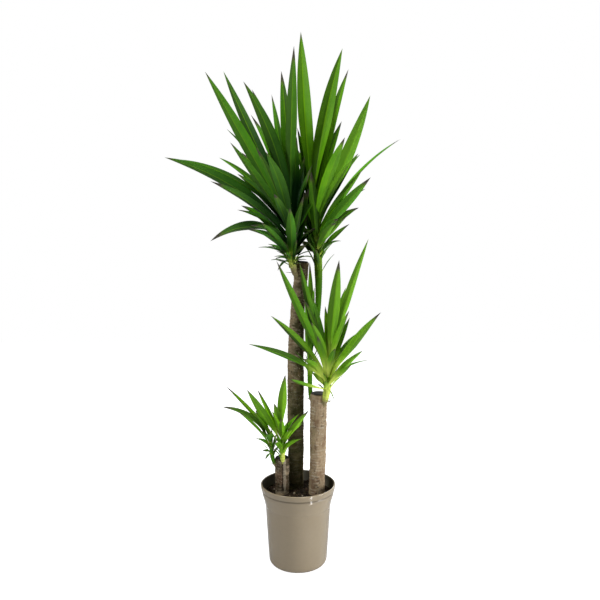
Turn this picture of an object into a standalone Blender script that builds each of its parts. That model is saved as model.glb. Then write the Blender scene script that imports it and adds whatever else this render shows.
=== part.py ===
"""A potted yucca: three rough canes of unequal height stand in a tapered, banded pot of soil.

Six leafy shoots grow from the canes' shoulders.  Each shoot is one body: a stem whose root end sits in a
socket in its cane, and long channelled leaves sunk into the end of that stem.  The origin is at the centre of
the pot's underside, +Z is up and -Y is the front.
"""
import math
import random
from typing import NamedTuple

import bmesh
import bpy
import numpy as np

CM = 0.01
MM = 0.001
GAP = 0.3 * MM                   # clearance between pieces that touch
NAME = "potted_yucca"

# Pot, in metres
POT_HEIGHT = 0.212
POT_SIDES = 36
RIM_RADIUS = 0.095               # widest part of the rim's band
BAND_FOOT_RADIUS = 0.0938        # lower edge of the band
RIM_DEPTH = 0.0138               # height of the band
RIM_ROUND = 0.0028               # size of the roundings of the rim
WALL = (                         # (height, outside radius) from above the rounded foot to under the band
    (0.0160, 0.0745), (0.1560, 0.0830), (0.1580, 0.0837), (0.1660, 0.0852),
    (0.1760, 0.0880), (0.1880, 0.0912), (0.1972, 0.0922),
)
FOOT_ROUND = 0.016
FOOT_STEPS = 3
FLOOR_ROUND = 0.013              # size of the rounding inside, between floor and wall
POT_WALL = 0.0028
POT_FLOOR = 0.0035
DRAIN_COUNT = 6
DRAIN_RADIUS = 0.005
DRAIN_SIDES = 10
DRAIN_CIRCLE = 0.045

# Soil, in metres
SOIL_EDGE = 0.1850               # height of the soil at the wall
SOIL_CROWN = 0.1895              # height of the soil at the middle
SOIL_LUMP = 0.0022
SOIL_WAVE = 180.0                # radians of a lump's wave in a metre
SOIL_FADE = 0.002                # height above the edge over which the lumps grow
SOIL_RINGS = 5
HOLE_BOTTOM = 0.140              # how far down the canes' holes reach
HOLE_DEPTH = 0.10
HOLE_SIDES = 24

# Bark
CANE_SIDES = 12
RING_PITCH = 0.024               # distance between two ridges of the bark
RING_RELIEF = 0.035              # ridge height as a share of the radius
BARK_RELIEF = 0.030
BARK_TURNS = (37.0, 71.0)        # how fast the bark's two waves wind, in radians in a metre of height
BARK_FADE = 0.03                 # height above the soil over which the relief grows
TOP_FADE = 0.01                  # height below the cut over which it dies away
BUTT_SWELL = 1.06                # the buried end is this much thicker than the cane
BUTT_NECK = 0.02                 # length of the butt's last straight stretch below the soil
WAX_THICKNESS = 0.0018
WAX_PROFILE = ((0.0, 0.86), (0.55, 0.88), (1.0, 0.76))   # shares of its thickness and of the cane's radius

# Shoots
STEM_SIDES = 8
STEM_STEP = 0.012                # distance between two sections of a stem
LONG_STATIONS = (0.0, 0.08, 0.28, 0.52, 0.78)   # shares of the length where a section is drawn
SHORT_STATIONS = (0.0, 0.12, 0.45, 0.78)
SHORT_LEAF = 0.24                # a leaf up to this length in metres has the short list
LEAF_THICKNESS = 1.5 * MM
TIP_THINNING = 0.4               # share of the thickness that is lost towards the tip
LEAF_CHANNEL = 0.15              # how far the edges rise above the rib, as a share of the width
CHANNEL_START = 0.2              # share of the length over which the channel opens
ROOT_SHARE = 0.35                # depth of a leaf's root, as a share of the crown's radius from its axis
FOOT_WIDTH = 0.34                # width of a leaf's foot, as a share of its broadest part
GROWTH_POWER = 1.3
LEAF_BROADEST = 0.5              # share of the length where the blade is widest
TURN_SHARE = 0.5                 # share of the length over which the blade turns to the front
SPRAY_SAGS = (0.10, 0.03)        # sag of a spray's lowest and highest leaf
GOLDEN_SHARE = 0.618034
SEED = 60

# Finishes: base colour and roughness
POT_FINISH = ((0.36, 0.31, 0.23), 0.28)
SOIL_FINISH = ((0.030, 0.021, 0.015), 0.95)
BARK_FINISH = ((0.13, 0.10, 0.07), 0.90)
WAX_FINISH = ((0.035, 0.030, 0.028), 0.50)
LEAF_FINISH = ((0.045, 0.18, 0.015), 0.42)


class Cane(NamedTuple):
    """A cut stem: its centre line in cm from the soil to the cut top, and its radius in mm at each point."""

    name: str
    line: tuple
    radii: tuple


class Leaf(NamedTuple):
    """A leaf by the place of its tip.

    seat is the share of the crown's length where it grows; right, back and up are the tip's place in cm from
    the centre of the pot's foot; width is in mm; sag is how far the middle stands above the straight line
    from seat to tip, as a share of the length; face is how far the blade turns from level, 0, to flat to the
    front, 1.
    """

    seat: float
    right: float
    back: float
    up: float
    width: float
    sag: float = 0.03
    face: float = 0.3


class Spray(NamedTuple):
    """Leaves spread by the golden ratio over a sector of headings, 0 to the right and 90 to the back."""

    count: int
    headings: tuple              # first and last heading, degrees
    climbs: tuple                # rise above level of the lowest and the highest leaf, degrees
    lengths: tuple               # of the lowest and the highest leaf, cm
    width: float                 # mm
    seats: tuple = (0.05, 0.9)


class Shoot(NamedTuple):
    """A leafy stem: line in cm from inside the cane to the heart of the crown, and radii in mm along it."""

    name: str
    cane: str
    line: tuple                  # its last two points are the ends of the leaf-bearing crown
    radii: tuple
    leaves: tuple
    sprays: tuple


CANES = (
    Cane(
        "cane_tall",
        ((-0.6, 3.3, 19.0), (-0.6, 3.3, 40.0), (-0.6, 3.3, 50.0), (-0.2, 3.3, 64.0), (1.1, 3.3, 77.5)),
        (19.5, 20.8, 20.8, 17.8, 16.6),
    ),
    Cane("cane_medium", ((4.8, -0.7, 18.7), (5.0, -0.7, 30.0), (5.25, -0.7, 44.8)), (19.5, 20.0, 21.0)),
    Cane("cane_short", ((-4.0, -0.5, 18.7), (-4.05, -0.5, 28.1)), (16.6, 18.2)),
)

SHOOTS = (
    Shoot(
        "shoot_tall_left", "cane_tall",
        ((-0.1, 2.5, 73.6), (-0.8, 1.7, 75.0), (-1.2, 1.2, 76.6), (-1.5, 1.0, 78.0), (-1.9, 1.0, 92.0)),
        (5.5, 7.5, 8.5, 9.5, 4.0),
        (
            Leaf(0.00, -8.3, -14.0, 87.9, 18, 0.02),
            Leaf(0.00, -1.8, -12.0, 91.0, 23, 0.02),
            Leaf(0.00, -5.6, -7.0, 79.6, 9, 0.05),
            Leaf(0.00, -4.9, -2.4, 75.8, 10, 0.15, 0.6),
            Leaf(0.00, 2.0, 0.4, 81.8, 17, 0.12, 0.9),
            Leaf(0.04, 2.4, 1.9, 89.0, 20, 0.03, 0.8),
            Leaf(0.06, 0.6, 4.0, 93.0, 22, 0.03, 0.8),
            Leaf(0.00, -9.6, -3.0, 81.5, 10, 0.12),
            Leaf(0.03, -10.8, -17.0, 86.8, 11, 0.04),
            Leaf(0.05, -7.0, -8.0, 82.6, 13, 0.05),
            Leaf(0.08, 1.4, -6.0, 93.9, 16, 0.03),
            Leaf(0.02, 2.9, 2.6, 96.0, 22, 0.03, 0.9),
            Leaf(0.10, 1.7, 4.2, 103.5, 25, 0.03, 0.9),
            Leaf(0.16, -0.3, 5.6, 108.5, 26, 0.03, 0.9),
            Leaf(0.12, -4.3, -9.0, 96.2, 18, 0.03),
            Leaf(0.20, -12.6, 3.0, 85.6, 14, 0.08, 0.6),
            Leaf(0.32, -20.1, -11.0, 83.4, 27, 0.17, 0.6),
            Leaf(0.36, -15.5, 8.0, 90.4, 15, 0.07, 0.5),
            Leaf(0.38, -19.3, -16.0, 96.9, 22, 0.05, 0.4),
            Leaf(0.46, -30.9, -7.0, 102.6, 29, 0.08, 0.7),
            Leaf(0.50, -15.1, -13.0, 105.6, 22, 0.02, 0.6),
            Leaf(0.52, -6.6, -24.0, 102.7, 27, 0.05),
            Leaf(0.60, -32.4, 12.0, 103.3, 18, 0.09, 0.4),
            Leaf(0.60, -20.9, 17.0, 104.0, 18, 0.06, 0.4),
            Leaf(0.66, -21.2, -7.0, 121.9, 31, 0.00, 0.9),
            Leaf(0.74, -18.6, 9.0, 124.7, 27, 0.00, 0.9),
            Leaf(0.78, -12.7, -4.0, 120.2, 31, 0.06, 0.9),
            Leaf(0.84, -11.8, 13.0, 120.9, 24, 0.05, 0.6),
            Leaf(0.88, -6.7, 11.0, 119.4, 18, 0.02, 0.6),
            Leaf(0.92, -4.1, 6.0, 124.3, 28, 0.02, 0.9),
            Leaf(1.00, -0.9, -1.0, 128.8, 27, 0.01, 0.9),
        ),
        (
            Spray(6, (122, 178), (28, 62), (20, 30), 25),
            Spray(3, (75, 120), (60, 74), (15, 22), 24, (0.05, 0.35)),
            Spray(3, (222, 262), (18, 50), (16, 25), 22, (0.1, 0.6)),
        ),
    ),
    Shoot(
        "shoot_tall_right", "cane_tall",
        (
            (0.6, 3.8, 54.2), (2.4, 4.7, 56.4), (4.4, 5.2, 60.5),
            (5.2, 5.3, 68.0), (5.0, 5.3, 78.5), (3.6, 5.2, 93.0),
        ),
        (5.5, 7.0, 6.4, 8.0, 11.0, 4.0),
        (
            Leaf(0.00, 10.4, -4.0, 83.1, 10, 0.10),
            Leaf(0.05, 13.2, 9.0, 86.8, 16, 0.04, 0.5),
            Leaf(0.10, 8.8, -9.0, 87.6, 22, 0.04),
            Leaf(0.00, 0.8, 6.4, 82.4, 18, 0.12, 0.9),
            Leaf(0.00, 0.9, 3.4, 87.0, 17, 0.04, 0.8),
            Leaf(0.00, 3.2, 7.6, 88.0, 20, 0.03, 0.8),
            Leaf(0.02, 0.9, 8.4, 91.5, 20, 0.05, 0.7),
            Leaf(0.03, 2.0, 7.0, 97.0, 24, 0.03, 0.9),
            Leaf(0.12, 1.0, 7.6, 104.0, 24, 0.03, 0.9),
            Leaf(0.12, 12.2, 2.0, 89.0, 15, 0.05, 0.6),
            Leaf(0.15, 3.1, -2.0, 99.8, 24, 0.02),
            Leaf(0.30, 16.8, -9.0, 98.0, 26, 0.02, 0.8),
            Leaf(0.40, 15.2, -4.0, 99.8, 18, 0.02, 0.7),
            Leaf(0.42, 26.3, 12.0, 108.4, 12, 0.07, 0.3),
            Leaf(0.48, 16.0, 18.0, 105.2, 22, 0.03),
            Leaf(0.50, 8.7, -8.0, 104.0, 16, 0.02),
            Leaf(0.54, 10.5, -14.0, 106.6, 27, 0.04, 0.5),
            Leaf(0.64, 16.9, -4.0, 117.0, 33, -0.02, 0.9),
            Leaf(0.70, -0.2, 7.0, 110.8, 20, 0.00, 0.6),
            Leaf(0.80, 13.0, 15.0, 126.3, 26, 0.03, 0.6),
            Leaf(0.84, 8.5, 12.0, 122.6, 30, 0.03, 0.8),
            Leaf(0.92, 11.0, 8.0, 130.0, 35, 0.03, 0.9),
            Leaf(1.00, 0.7, 9.0, 134.2, 35, 0.00, 0.9),
        ),
        (
            Spray(6, (25, 92), (30, 62), (18, 29), 26),
            Spray(4, (98, 165), (56, 76), (16, 26), 27, (0.05, 0.8)),
            Spray(3, (275, 322), (18, 50), (16, 25), 22, (0.1, 0.6)),
        ),
    ),
    Shoot(
        "shoot_medium_front", "cane_medium",
        ((6.2, -1.7, 41.8), (6.7, -2.3, 43.2), (7.0, -2.6, 45.0), (7.2, -2.8, 46.6), (7.4, -3.0, 52.6)),
        (5.5, 7.5, 8.5, 9.4, 4.0),
        (
            Leaf(0.00, 8.7, -8.0, 45.2, 6, 0.08),
            Leaf(0.00, 3.4, -1.5, 50.4, 12, 0.08, 0.8),
            Leaf(0.00, -2.3, -12.0, 51.5, 13, -0.04, 0.6),
            Leaf(0.08, 12.6, -11.0, 54.4, 17, 0.02, 0.6),
            Leaf(0.14, 15.0, -13.0, 58.2, 18, 0.03, 0.6),
            Leaf(0.30, -11.5, -13.0, 59.8, 20, 0.05, 0.7),
            Leaf(0.34, 19.7, -8.0, 66.5, 22, 0.03, 0.9),
            Leaf(0.40, 4.6, -9.0, 61.0, 18, 0.02),
            Leaf(0.48, 13.1, 3.5, 63.4, 17, 0.02, 0.4),
            Leaf(0.50, -6.3, -11.0, 66.1, 19, 0.04, 0.8),
            Leaf(0.60, 3.4, -6.5, 70.0, 20, 0.02, 0.6),
            Leaf(0.70, -5.0, -9.0, 78.8, 20, 0.00, 0.9),
            Leaf(0.72, 12.0, 3.0, 71.1, 20, 0.03, 0.6),
            Leaf(0.80, 0.4, -5.0, 78.0, 20, -0.01, 0.9),
            Leaf(0.84, 17.0, -3.0, 83.6, 20, 0.01, 0.9),
            Leaf(0.92, 9.7, -8.0, 78.9, 29, 0.02, 0.9),
            Leaf(1.00, 6.7, -1.0, 67.0, 15, 0.02),
        ),
        (
            Spray(4, (-72, 50), (30, 66), (12, 19), 18),
            Spray(4, (200, 285), (35, 70), (12, 19), 18),
        ),
    ),
    Shoot(
        "shoot_medium_back", "cane_medium",
        ((4.2, 0.2, 41.4), (3.4, 1.0, 43.0), (3.1, 1.3, 45.2), (3.0, 1.2, 50.0), (3.1, 0.9, 55.5)),
        (4.5, 5.5, 5.8, 6.6, 3.5),
        (
            Leaf(0.05, 1.7, -1.4, 62.0, 13, 0.04, 0.5),
            Leaf(0.20, 4.6, 2.2, 63.0, 13, 0.04, 0.7),
            Leaf(0.40, 1.6, -1.3, 70.0, 14, 0.03, 0.7),
            Leaf(0.60, 4.1, 0.4, 71.5, 15, 0.02, 0.8),
            Leaf(0.80, 2.9, 1.0, 77.7, 16, 0.01, 0.9),
        ),
        (),
    ),
    Shoot(
        "shoot_short_main", "cane_short",
        ((-3.9, -0.9, 25.4), (-3.8, -1.6, 26.8), (-3.85, -1.9, 28.4), (-3.9, -2.0, 29.4), (-4.0, -2.1, 34.4)),
        (4.5, 5.5, 6.0, 6.6, 3.4),
        (
            Leaf(0.00, -6.0, -4.4, 33.4, 9, 0.08, 0.6),
            Leaf(0.05, -5.4, -5.4, 35.8, 10, 0.06, 0.6),
            Leaf(0.10, 1.5, -7.5, 35.5, 15, 0.06),
            Leaf(0.40, 2.7, -7.0, 42.3, 17, 0.02, 0.6),
            Leaf(0.45, -18.5, 2.5, 46.0, 13, 0.02, 0.4),
            Leaf(0.50, -2.5, -4.5, 38.8, 14, 0.02, 0.5),
            Leaf(0.60, -12.6, -3.6, 46.6, 21, 0.00, 0.9),
            Leaf(0.75, -10.4, 3.0, 45.0, 12, 0.00, 0.5),
            Leaf(0.85, -5.9, -3.2, 43.0, 19, 0.02, 0.8),
            Leaf(1.00, -3.1, -2.4, 50.1, 23, 0.03, 0.9),
        ),
        (
            Spray(3, (-60, -10), (40, 64), (6, 10), 13),
            Spray(4, (235, 300), (30, 66), (7, 11), 13),
        ),
    ),
    Shoot(
        "shoot_short_side", "cane_short",
        ((-4.8, -0.7, 24.9), (-5.8, -1.0, 26.6), (-6.4, -1.2, 28.2), (-6.6, -1.2, 29.6), (-7.2, -1.0, 34.5)),
        (4.5, 5.0, 5.4, 5.4, 3.0),
        (
            Leaf(0.00, -8.2, -2.6, 28.3, 6, 0.10),
            Leaf(0.02, -9.0, -0.6, 29.9, 8, 0.08),
            Leaf(0.20, -10.0, 0.8, 32.7, 9, 0.12),
            Leaf(0.30, -14.7, -6.0, 41.7, 12, 0.05, 0.4),
            Leaf(0.40, -18.9, -4.0, 42.3, 17, 0.14, 0.7),
            Leaf(0.50, -6.9, -9.0, 37.0, 18, 0.05),
            Leaf(0.90, -10.8, 1.2, 40.0, 16, 0.03, 0.8),
        ),
        (
            Spray(3, (190, 240), (30, 60), (5, 9), 12),
        ),
    ),
)


def collection(name, parent):
    """Make a collection inside another."""
    made = bpy.data.collections.new(name)
    parent.children.link(made)
    return made


def clear_scene():
    """Remove every object that the file opened with."""
    for item in list(bpy.data.objects):
        bpy.data.objects.remove(item, do_unlink=True)


def material(name, colour, roughness):
    """A plain coloured finish."""
    made = bpy.data.materials.new(name)
    made.use_nodes = True
    shader = made.node_tree.nodes["Principled BSDF"]
    shader.inputs["Base Color"].default_value = (*colour, 1.0)
    shader.inputs["Roughness"].default_value = roughness
    shader.inputs["Metallic"].default_value = 0.0
    return made


def new_object(name, data, home):
    """Put mesh or curve data in the scene as an object of a collection."""
    item = bpy.data.objects.new(name, data)
    home.objects.link(item)
    return item


def finish(item, look):
    """Give an object its own material, of a colour and roughness, and smooth shading with sharp creases."""
    item.data.materials.clear()
    item.data.materials.append(material(item.name, *look))
    item.data.shade_smooth()
    item.data.set_sharp_from_angle(angle=math.radians(40))


def evaluated_mesh(item):
    """The object's mesh with its modifiers applied, as new data."""
    bpy.context.view_layer.update()
    graph = bpy.context.evaluated_depsgraph_get()
    return bpy.data.meshes.new_from_object(item.evaluated_get(graph))


def apply_modifiers(item):
    """Replace the object's mesh by its evaluated one and drop its modifiers."""
    mesh = evaluated_mesh(item)
    item.modifiers.clear()
    item.data = mesh


def turned(name, profile, home):
    """Turn a profile of (radius, height) points about Z into a closed solid."""
    mesh = bpy.data.meshes.new(name)
    points = [(radius, 0.0, height) for radius, height in profile]
    mesh.from_pydata(points, [(i, i + 1) for i in range(len(points) - 1)], [])
    item = new_object(name, mesh, home)
    screw = item.modifiers.new("turn", "SCREW")
    screw.steps = POT_SIDES
    screw.render_steps = POT_SIDES
    screw.use_merge_vertices = True
    screw.merge_threshold = 0.00005
    apply_modifiers(item)
    return item


def rod(name, line, radii, sides, home):
    """A tube along a line of points, with its own radius at each point and closed ends."""
    curve = bpy.data.curves.new(name, "CURVE")
    curve.dimensions = "3D"
    curve.bevel_depth = 1.0
    curve.bevel_resolution = (sides - 4) // 2
    curve.use_fill_caps = True
    spline = curve.splines.new("POLY")
    spline.points.add(len(line) - 1)
    for point, place, radius in zip(spline.points, line, radii):
        point.co = (*place, 1.0)
        point.radius = radius
    wire = new_object(name + "_line", curve, home)
    mesh = evaluated_mesh(wire)
    bpy.data.objects.remove(wire)
    shape = bmesh.new()
    shape.from_mesh(mesh)
    bmesh.ops.remove_doubles(shape, verts=shape.verts, dist=1e-6)
    bmesh.ops.recalc_face_normals(shape, faces=shape.faces)
    shape.to_mesh(mesh)
    shape.free()
    return new_object(name, mesh, home)


def combine(item, tools, operation, solver):
    """Cut the tools' collection out of an object, or join it on."""
    step = item.modifiers.new(operation.lower(), "BOOLEAN")
    step.operation = operation
    step.operand_type = "COLLECTION"
    step.collection = tools
    step.solver = solver
    apply_modifiers(item)


def discard(tools):
    """Remove a collection with its objects."""
    for item in list(tools.objects):
        bpy.data.objects.remove(item, do_unlink=True)
    bpy.data.collections.remove(tools)


def keep_outer_shell(mesh):
    """Fill the hollows that leaves seal where they cross, by keeping only the shell with the most faces."""
    shape = bmesh.new()
    shape.from_mesh(mesh)
    waiting = set(shape.faces)
    shells = []
    while waiting:
        shell = set()
        front = [waiting.pop()]
        while front:
            face = front.pop()
            shell.add(face)
            for edge in face.edges:
                for other in edge.link_faces:
                    if other in waiting:
                        waiting.remove(other)
                        front.append(other)
        shells.append(shell)
    shells.sort(key=len)
    for shell in shells[:-1]:
        bmesh.ops.delete(shape, geom=list(shell), context="FACES")
    shape.to_mesh(mesh)
    shape.free()


def as_cutter(item):
    """Mark an object as a cutter that is no part of the plant."""
    item.hide_render = True
    item.display_type = "WIRE"
    return item


def smooth_line(points, step):
    """Points about a step apart on a smooth curve through the given ones, in metres.

    The curve is a Catmull-Rom spline: it leaves each point along the line that joins the point's neighbours.
    """
    knots = np.array(points, dtype=float)
    padded = np.vstack([2 * knots[0] - knots[1], knots, 2 * knots[-1] - knots[-2]])
    places = []
    for i in range(len(knots) - 1):
        before, start, end, after = padded[i:i + 4]
        square = 2 * before - 5 * start + 4 * end - after
        cube = 3 * start - before - 3 * end + after
        count = max(1, round(float(np.linalg.norm(end - start)) / step))
        for t in np.arange(count) / count:
            places.append(start + 0.5 * ((end - before) * t + square * t ** 2 + cube * t ** 3))
    places.append(knots[-1])
    return np.array(places)


def radius_along(places, points, radii):
    """The radius at each place, read by height from the radii at the given points."""
    heights = np.array(points)[:, 2]
    return np.interp(places[:, 2], heights, radii)


def make_pot(home, cutters):
    """A tapered plastic pot: rounded foot, flare with a faint step, banded rim and holes in its floor."""
    rim_low = POT_HEIGHT - RIM_DEPTH
    lip = RIM_RADIUS - 1.5 * POT_WALL
    floor = [(0.0, POT_FLOOR), (wall_radius(0.0) - POT_WALL - FLOOR_ROUND, POT_FLOOR)]
    inner = [(radius - POT_WALL, height) for height, radius in WALL]
    rim = [
        (lip, POT_HEIGHT - 2.0 * RIM_ROUND),
        (lip + RIM_ROUND / 2, POT_HEIGHT - RIM_ROUND / 2),
        (RIM_RADIUS - RIM_ROUND, POT_HEIGHT),
        (RIM_RADIUS, POT_HEIGHT - RIM_ROUND),
        (BAND_FOOT_RADIUS, rim_low),
    ]
    wall = [(radius, height) for height, radius in reversed(WALL)]
    foot = []
    for k in range(1, FOOT_STEPS + 1):
        angle = math.radians(90.0 * k / FOOT_STEPS)
        radius = wall_radius(0.0) - FOOT_ROUND * (1 - math.cos(angle))
        foot.append((radius, FOOT_ROUND * (1 - math.sin(angle))))
    pot = turned("pot", floor + inner + rim + wall + foot + [(0.0, 0.0)], home)
    for k in range(DRAIN_COUNT):
        angle = math.tau * k / DRAIN_COUNT
        bpy.ops.mesh.primitive_cylinder_add(
            vertices=DRAIN_SIDES, radius=DRAIN_RADIUS, depth=4 * POT_FLOOR,
            location=(DRAIN_CIRCLE * math.cos(angle), DRAIN_CIRCLE * math.sin(angle), POT_FLOOR / 2))
        move_to(bpy.context.object, cutters)
    combine(pot, cutters, "DIFFERENCE", "EXACT")
    finish(pot, POT_FINISH)


def wall_radius(height):
    """Outside radius of the pot's wall at a height, its rounded foot aside."""
    heights, radii = zip(*WALL)
    return float(np.interp(height, heights, radii))


def move_to(item, home):
    """Move a cutter made by an operator into the cutters' collection."""
    for owner in list(item.users_collection):
        owner.objects.unlink(item)
    home.objects.link(item)
    return as_cutter(item)


def make_soil(home, cutters):
    """The soil that fills the pot, with a lumpy top and a plain hole for each cane."""
    floor = POT_FLOOR + GAP
    inset = POT_WALL + 1.5 * GAP
    edge = wall_radius(SOIL_EDGE) - inset
    top = [
        (edge * k / SOIL_RINGS, SOIL_CROWN + (SOIL_EDGE - SOIL_CROWN) * (k / SOIL_RINGS) ** 2)
        for k in range(SOIL_RINGS)
    ]
    side = [(edge, SOIL_EDGE)]
    side += [(radius - inset, height) for height, radius in reversed(WALL) if height < SOIL_EDGE]
    side += [(wall_radius(0.0) - inset - FLOOR_ROUND, floor), (0.0, floor)]
    soil = turned("soil", top + side, home)
    for vertex in soil.data.vertices:
        x, y, z = vertex.co
        lump = math.sin(SOIL_WAVE * x + 1.0) * math.cos(SOIL_WAVE * y)
        lump += 0.6 * math.sin(SOIL_WAVE * (2.2 * x - 1.8 * y))
        vertex.co.z = z + SOIL_LUMP * lump * min(1.0, max(0.0, z - SOIL_EDGE) / SOIL_FADE)
    for cane in CANES:
        x, y = (value * CM for value in cane.line[0][:2])
        radius = cane.radii[0] * MM * BUTT_SWELL + 2 * GAP
        bpy.ops.mesh.primitive_cylinder_add(
            vertices=HOLE_SIDES, radius=radius, depth=HOLE_DEPTH,
            location=(x, y, HOLE_BOTTOM + HOLE_DEPTH / 2))
        move_to(bpy.context.object, cutters)
    combine(soil, cutters, "DIFFERENCE", "EXACT")
    finish(soil, SOIL_FINISH)


def make_cane(cane, home, cutters):
    """A rough cut cane with its shoots' sockets: rings of bark above the soil, a smooth butt in its hole."""
    line = np.array(cane.line) * CM
    above = smooth_line(line, RING_PITCH / 2)
    radii = radius_along(above, line, cane.radii) * MM
    fade = np.clip((above[:, 2] - above[0, 2]) / BARK_FADE, 0.0, 1.0)
    ridge = np.where(np.arange(len(above)) % 2 == 0, 1.0, -1.0)
    radii = radii * (1.0 + RING_RELIEF * ridge * fade)
    radii = radii * (BUTT_SWELL + (1.0 - BUTT_SWELL) * fade)
    butt = above[0] - np.array([[0, 0, above[0, 2] - HOLE_BOTTOM - GAP], [0, 0, BUTT_NECK]])
    places = np.vstack([butt, above])
    sizes = np.concatenate([[radii[0], radii[0]], radii])
    item = rod(cane.name, places, sizes, CANE_SIDES, home)
    roughen(item.data, above)
    combine(item, cutters, "DIFFERENCE", "EXACT")
    finish(item, BARK_FINISH)


def roughen(mesh, line):
    """Push a cane's surface in and out round its line by two waves that wind up it in opposite ways."""
    places = np.empty(len(mesh.vertices) * 3)
    mesh.vertices.foreach_get("co", places)
    places = places.reshape(-1, 3)
    x = np.interp(places[:, 2], line[:, 2], line[:, 0])
    y = np.interp(places[:, 2], line[:, 2], line[:, 1])
    angle = np.arctan2(places[:, 1] - y, places[:, 0] - x)
    fade = np.clip((places[:, 2] - line[0, 2]) / BARK_FADE, 0.0, 1.0)
    fade = fade * np.clip((line[-1, 2] - places[:, 2]) / TOP_FADE, 0.0, 1.0)
    wave = np.sin(3 * angle + BARK_TURNS[0] * places[:, 2])
    wave = wave + 0.7 * np.sin(5 * angle - BARK_TURNS[1] * places[:, 2])
    swell = 1.0 + BARK_RELIEF * wave * fade
    places[:, 0] = x + (places[:, 0] - x) * swell
    places[:, 1] = y + (places[:, 1] - y) * swell
    mesh.vertices.foreach_set("co", places.ravel())
    mesh.update()


def make_wax(cane, home, cutters):
    """The thin seal of dark wax on a cane's cut top."""
    line = np.array(cane.line[-2:]) * CM
    way = (line[1] - line[0]) / np.linalg.norm(line[1] - line[0])
    top = line[1] + way * GAP
    places = [top + way * WAX_THICKNESS * height for height, _ in WAX_PROFILE]
    radii = [cane.radii[-1] * MM * share for _, share in WAX_PROFILE]
    item = rod(cane.name.replace("cane", "wax_seal"), places, radii, CANE_SIDES, home)
    combine(item, cutters, "DIFFERENCE", "EXACT")
    finish(item, WAX_FINISH)


def stem_line(shoot, spare):
    """The shoot's line and radii in metres, each radius larger by a spare amount."""
    line = np.array(shoot.line) * CM
    places = smooth_line(line, STEM_STEP)
    radii = radius_along(places, line, shoot.radii) * MM + spare
    return places, radii


def seat_place(shoot, share):
    """The place on the crown's axis at a share of its length."""
    foot, heart = np.array(shoot.line[-2:]) * CM
    return foot + (heart - foot) * share


def root_place(shoot, leaf):
    """Where a leaf's root lies: inside the crown's skin, on the side that the leaf heads for."""
    seat = seat_place(shoot, leaf.seat)
    reach = np.array([leaf.right * CM - seat[0], leaf.back * CM - seat[1], 0.0])
    radius = shoot.radii[-2] + (shoot.radii[-1] - shoot.radii[-2]) * leaf.seat
    return seat + reach / np.linalg.norm(reach) * radius * MM * ROOT_SHARE


def blade_width(share, width):
    """Width of the blade at shares of its length.

    It grows as a power of a sine from a narrow foot to the broadest part, then falls by the square of the way
    gone from there to the tip.
    """
    growth = np.sin(0.5 * np.pi * np.clip(share / LEAF_BROADEST, 0, 1)) ** GROWTH_POWER
    growth = FOOT_WIDTH + (1.0 - FOOT_WIDTH) * growth
    taper = 1.0 - np.clip((share - LEAF_BROADEST) / (1 - LEAF_BROADEST), 0, 1) ** 2
    return width * growth * taper


def blade_frame(seat, tip, sag, face, share):
    """Centre line, sideways direction and upper normal of a blade at shares of its length.

    The line is a quadratic Bezier curve that stands above its chord by the sag.  The blade leaves its stem
    with level edges and turns about the line over the first half of its length.  At a face of 1 its sideways
    direction then has no part towards the front.
    """
    chord = tip - seat
    length = np.linalg.norm(chord)
    level = math.hypot(chord[0], chord[1])
    rise = np.array([-chord[0] * chord[2] / level, -chord[1] * chord[2] / level, level]) / length
    middle = (seat + tip) / 2 + 2 * sag * length * rise
    t = share[:, None]
    line = (1 - t) ** 2 * seat + 2 * t * (1 - t) * middle + t ** 2 * tip
    way = 2 * (1 - t) * (middle - seat) + 2 * t * (tip - middle)
    way = way / np.linalg.norm(way, axis=1, keepdims=True)
    side = np.array([chord[1], -chord[0], 0.0]) / level
    sides = np.tile(side, (len(share), 1))
    normals = np.cross(sides, way)
    normals = normals * np.sign(normals @ rise)[:, None]
    turn = np.unwrap(np.arctan(sides[:, 1:2] / normals[:, 1:2]), axis=0, period=math.pi)
    turn = face * turn * np.clip(share / TURN_SHARE, 0, 1)[:, None]
    return line, sides * np.cos(turn) - normals * np.sin(turn), normals * np.cos(turn) + sides * np.sin(turn)


def make_blade(name, seat, tip, leaf, home):
    """A leaf: sections with two edges, an upper rib and a lower rib, closed by a point at the tip."""
    share = np.array(SHORT_STATIONS if np.linalg.norm(tip - seat) < SHORT_LEAF else LONG_STATIONS)
    line, side, normal = blade_frame(seat, tip, leaf.sag, leaf.face, np.append(share, 1.0))
    half = blade_width(share, leaf.width * MM)[:, None] / 2
    thick = LEAF_THICKNESS * (1.0 - TIP_THINNING * share)[:, None] / 2
    lift = 2 * half * LEAF_CHANNEL * np.clip(share / CHANNEL_START, 0, 1)[:, None]
    left = line[:-1] - side[:-1] * half + normal[:-1] * lift
    right = line[:-1] + side[:-1] * half + normal[:-1] * lift
    upper = line[:-1] + normal[:-1] * thick
    lower = line[:-1] - normal[:-1] * thick
    points = np.stack([left, upper, right, lower], axis=1).reshape(-1, 3)
    points = np.vstack([points, line[-1]])
    last = len(points) - 1
    faces = [(0, 1, 2, 3)]
    for row in range(len(share) - 1):
        for k in range(4):
            a, b = 4 * row + k, 4 * row + (k + 1) % 4
            if k % 2 == 0:
                faces += [(a, a + 4, b), (b, a + 4, b + 4)]
            else:
                faces += [(a, a + 4, b + 4), (a, b + 4, b)]
    first = last - 4
    faces += [(first + k, last, first + (k + 1) % 4) for k in range(4)]
    mesh = bpy.data.meshes.new(name)
    mesh.from_pydata(points.tolist(), [], faces)
    shape = bmesh.new()
    shape.from_mesh(mesh)
    bmesh.ops.recalc_face_normals(shape, faces=shape.faces)
    shape.to_mesh(mesh)
    shape.free()
    return new_object(name, mesh, home)


def between(ends, share):
    """The value at a share of the way from the first to the last."""
    return ends[0] + (ends[1] - ends[0]) * share


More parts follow.
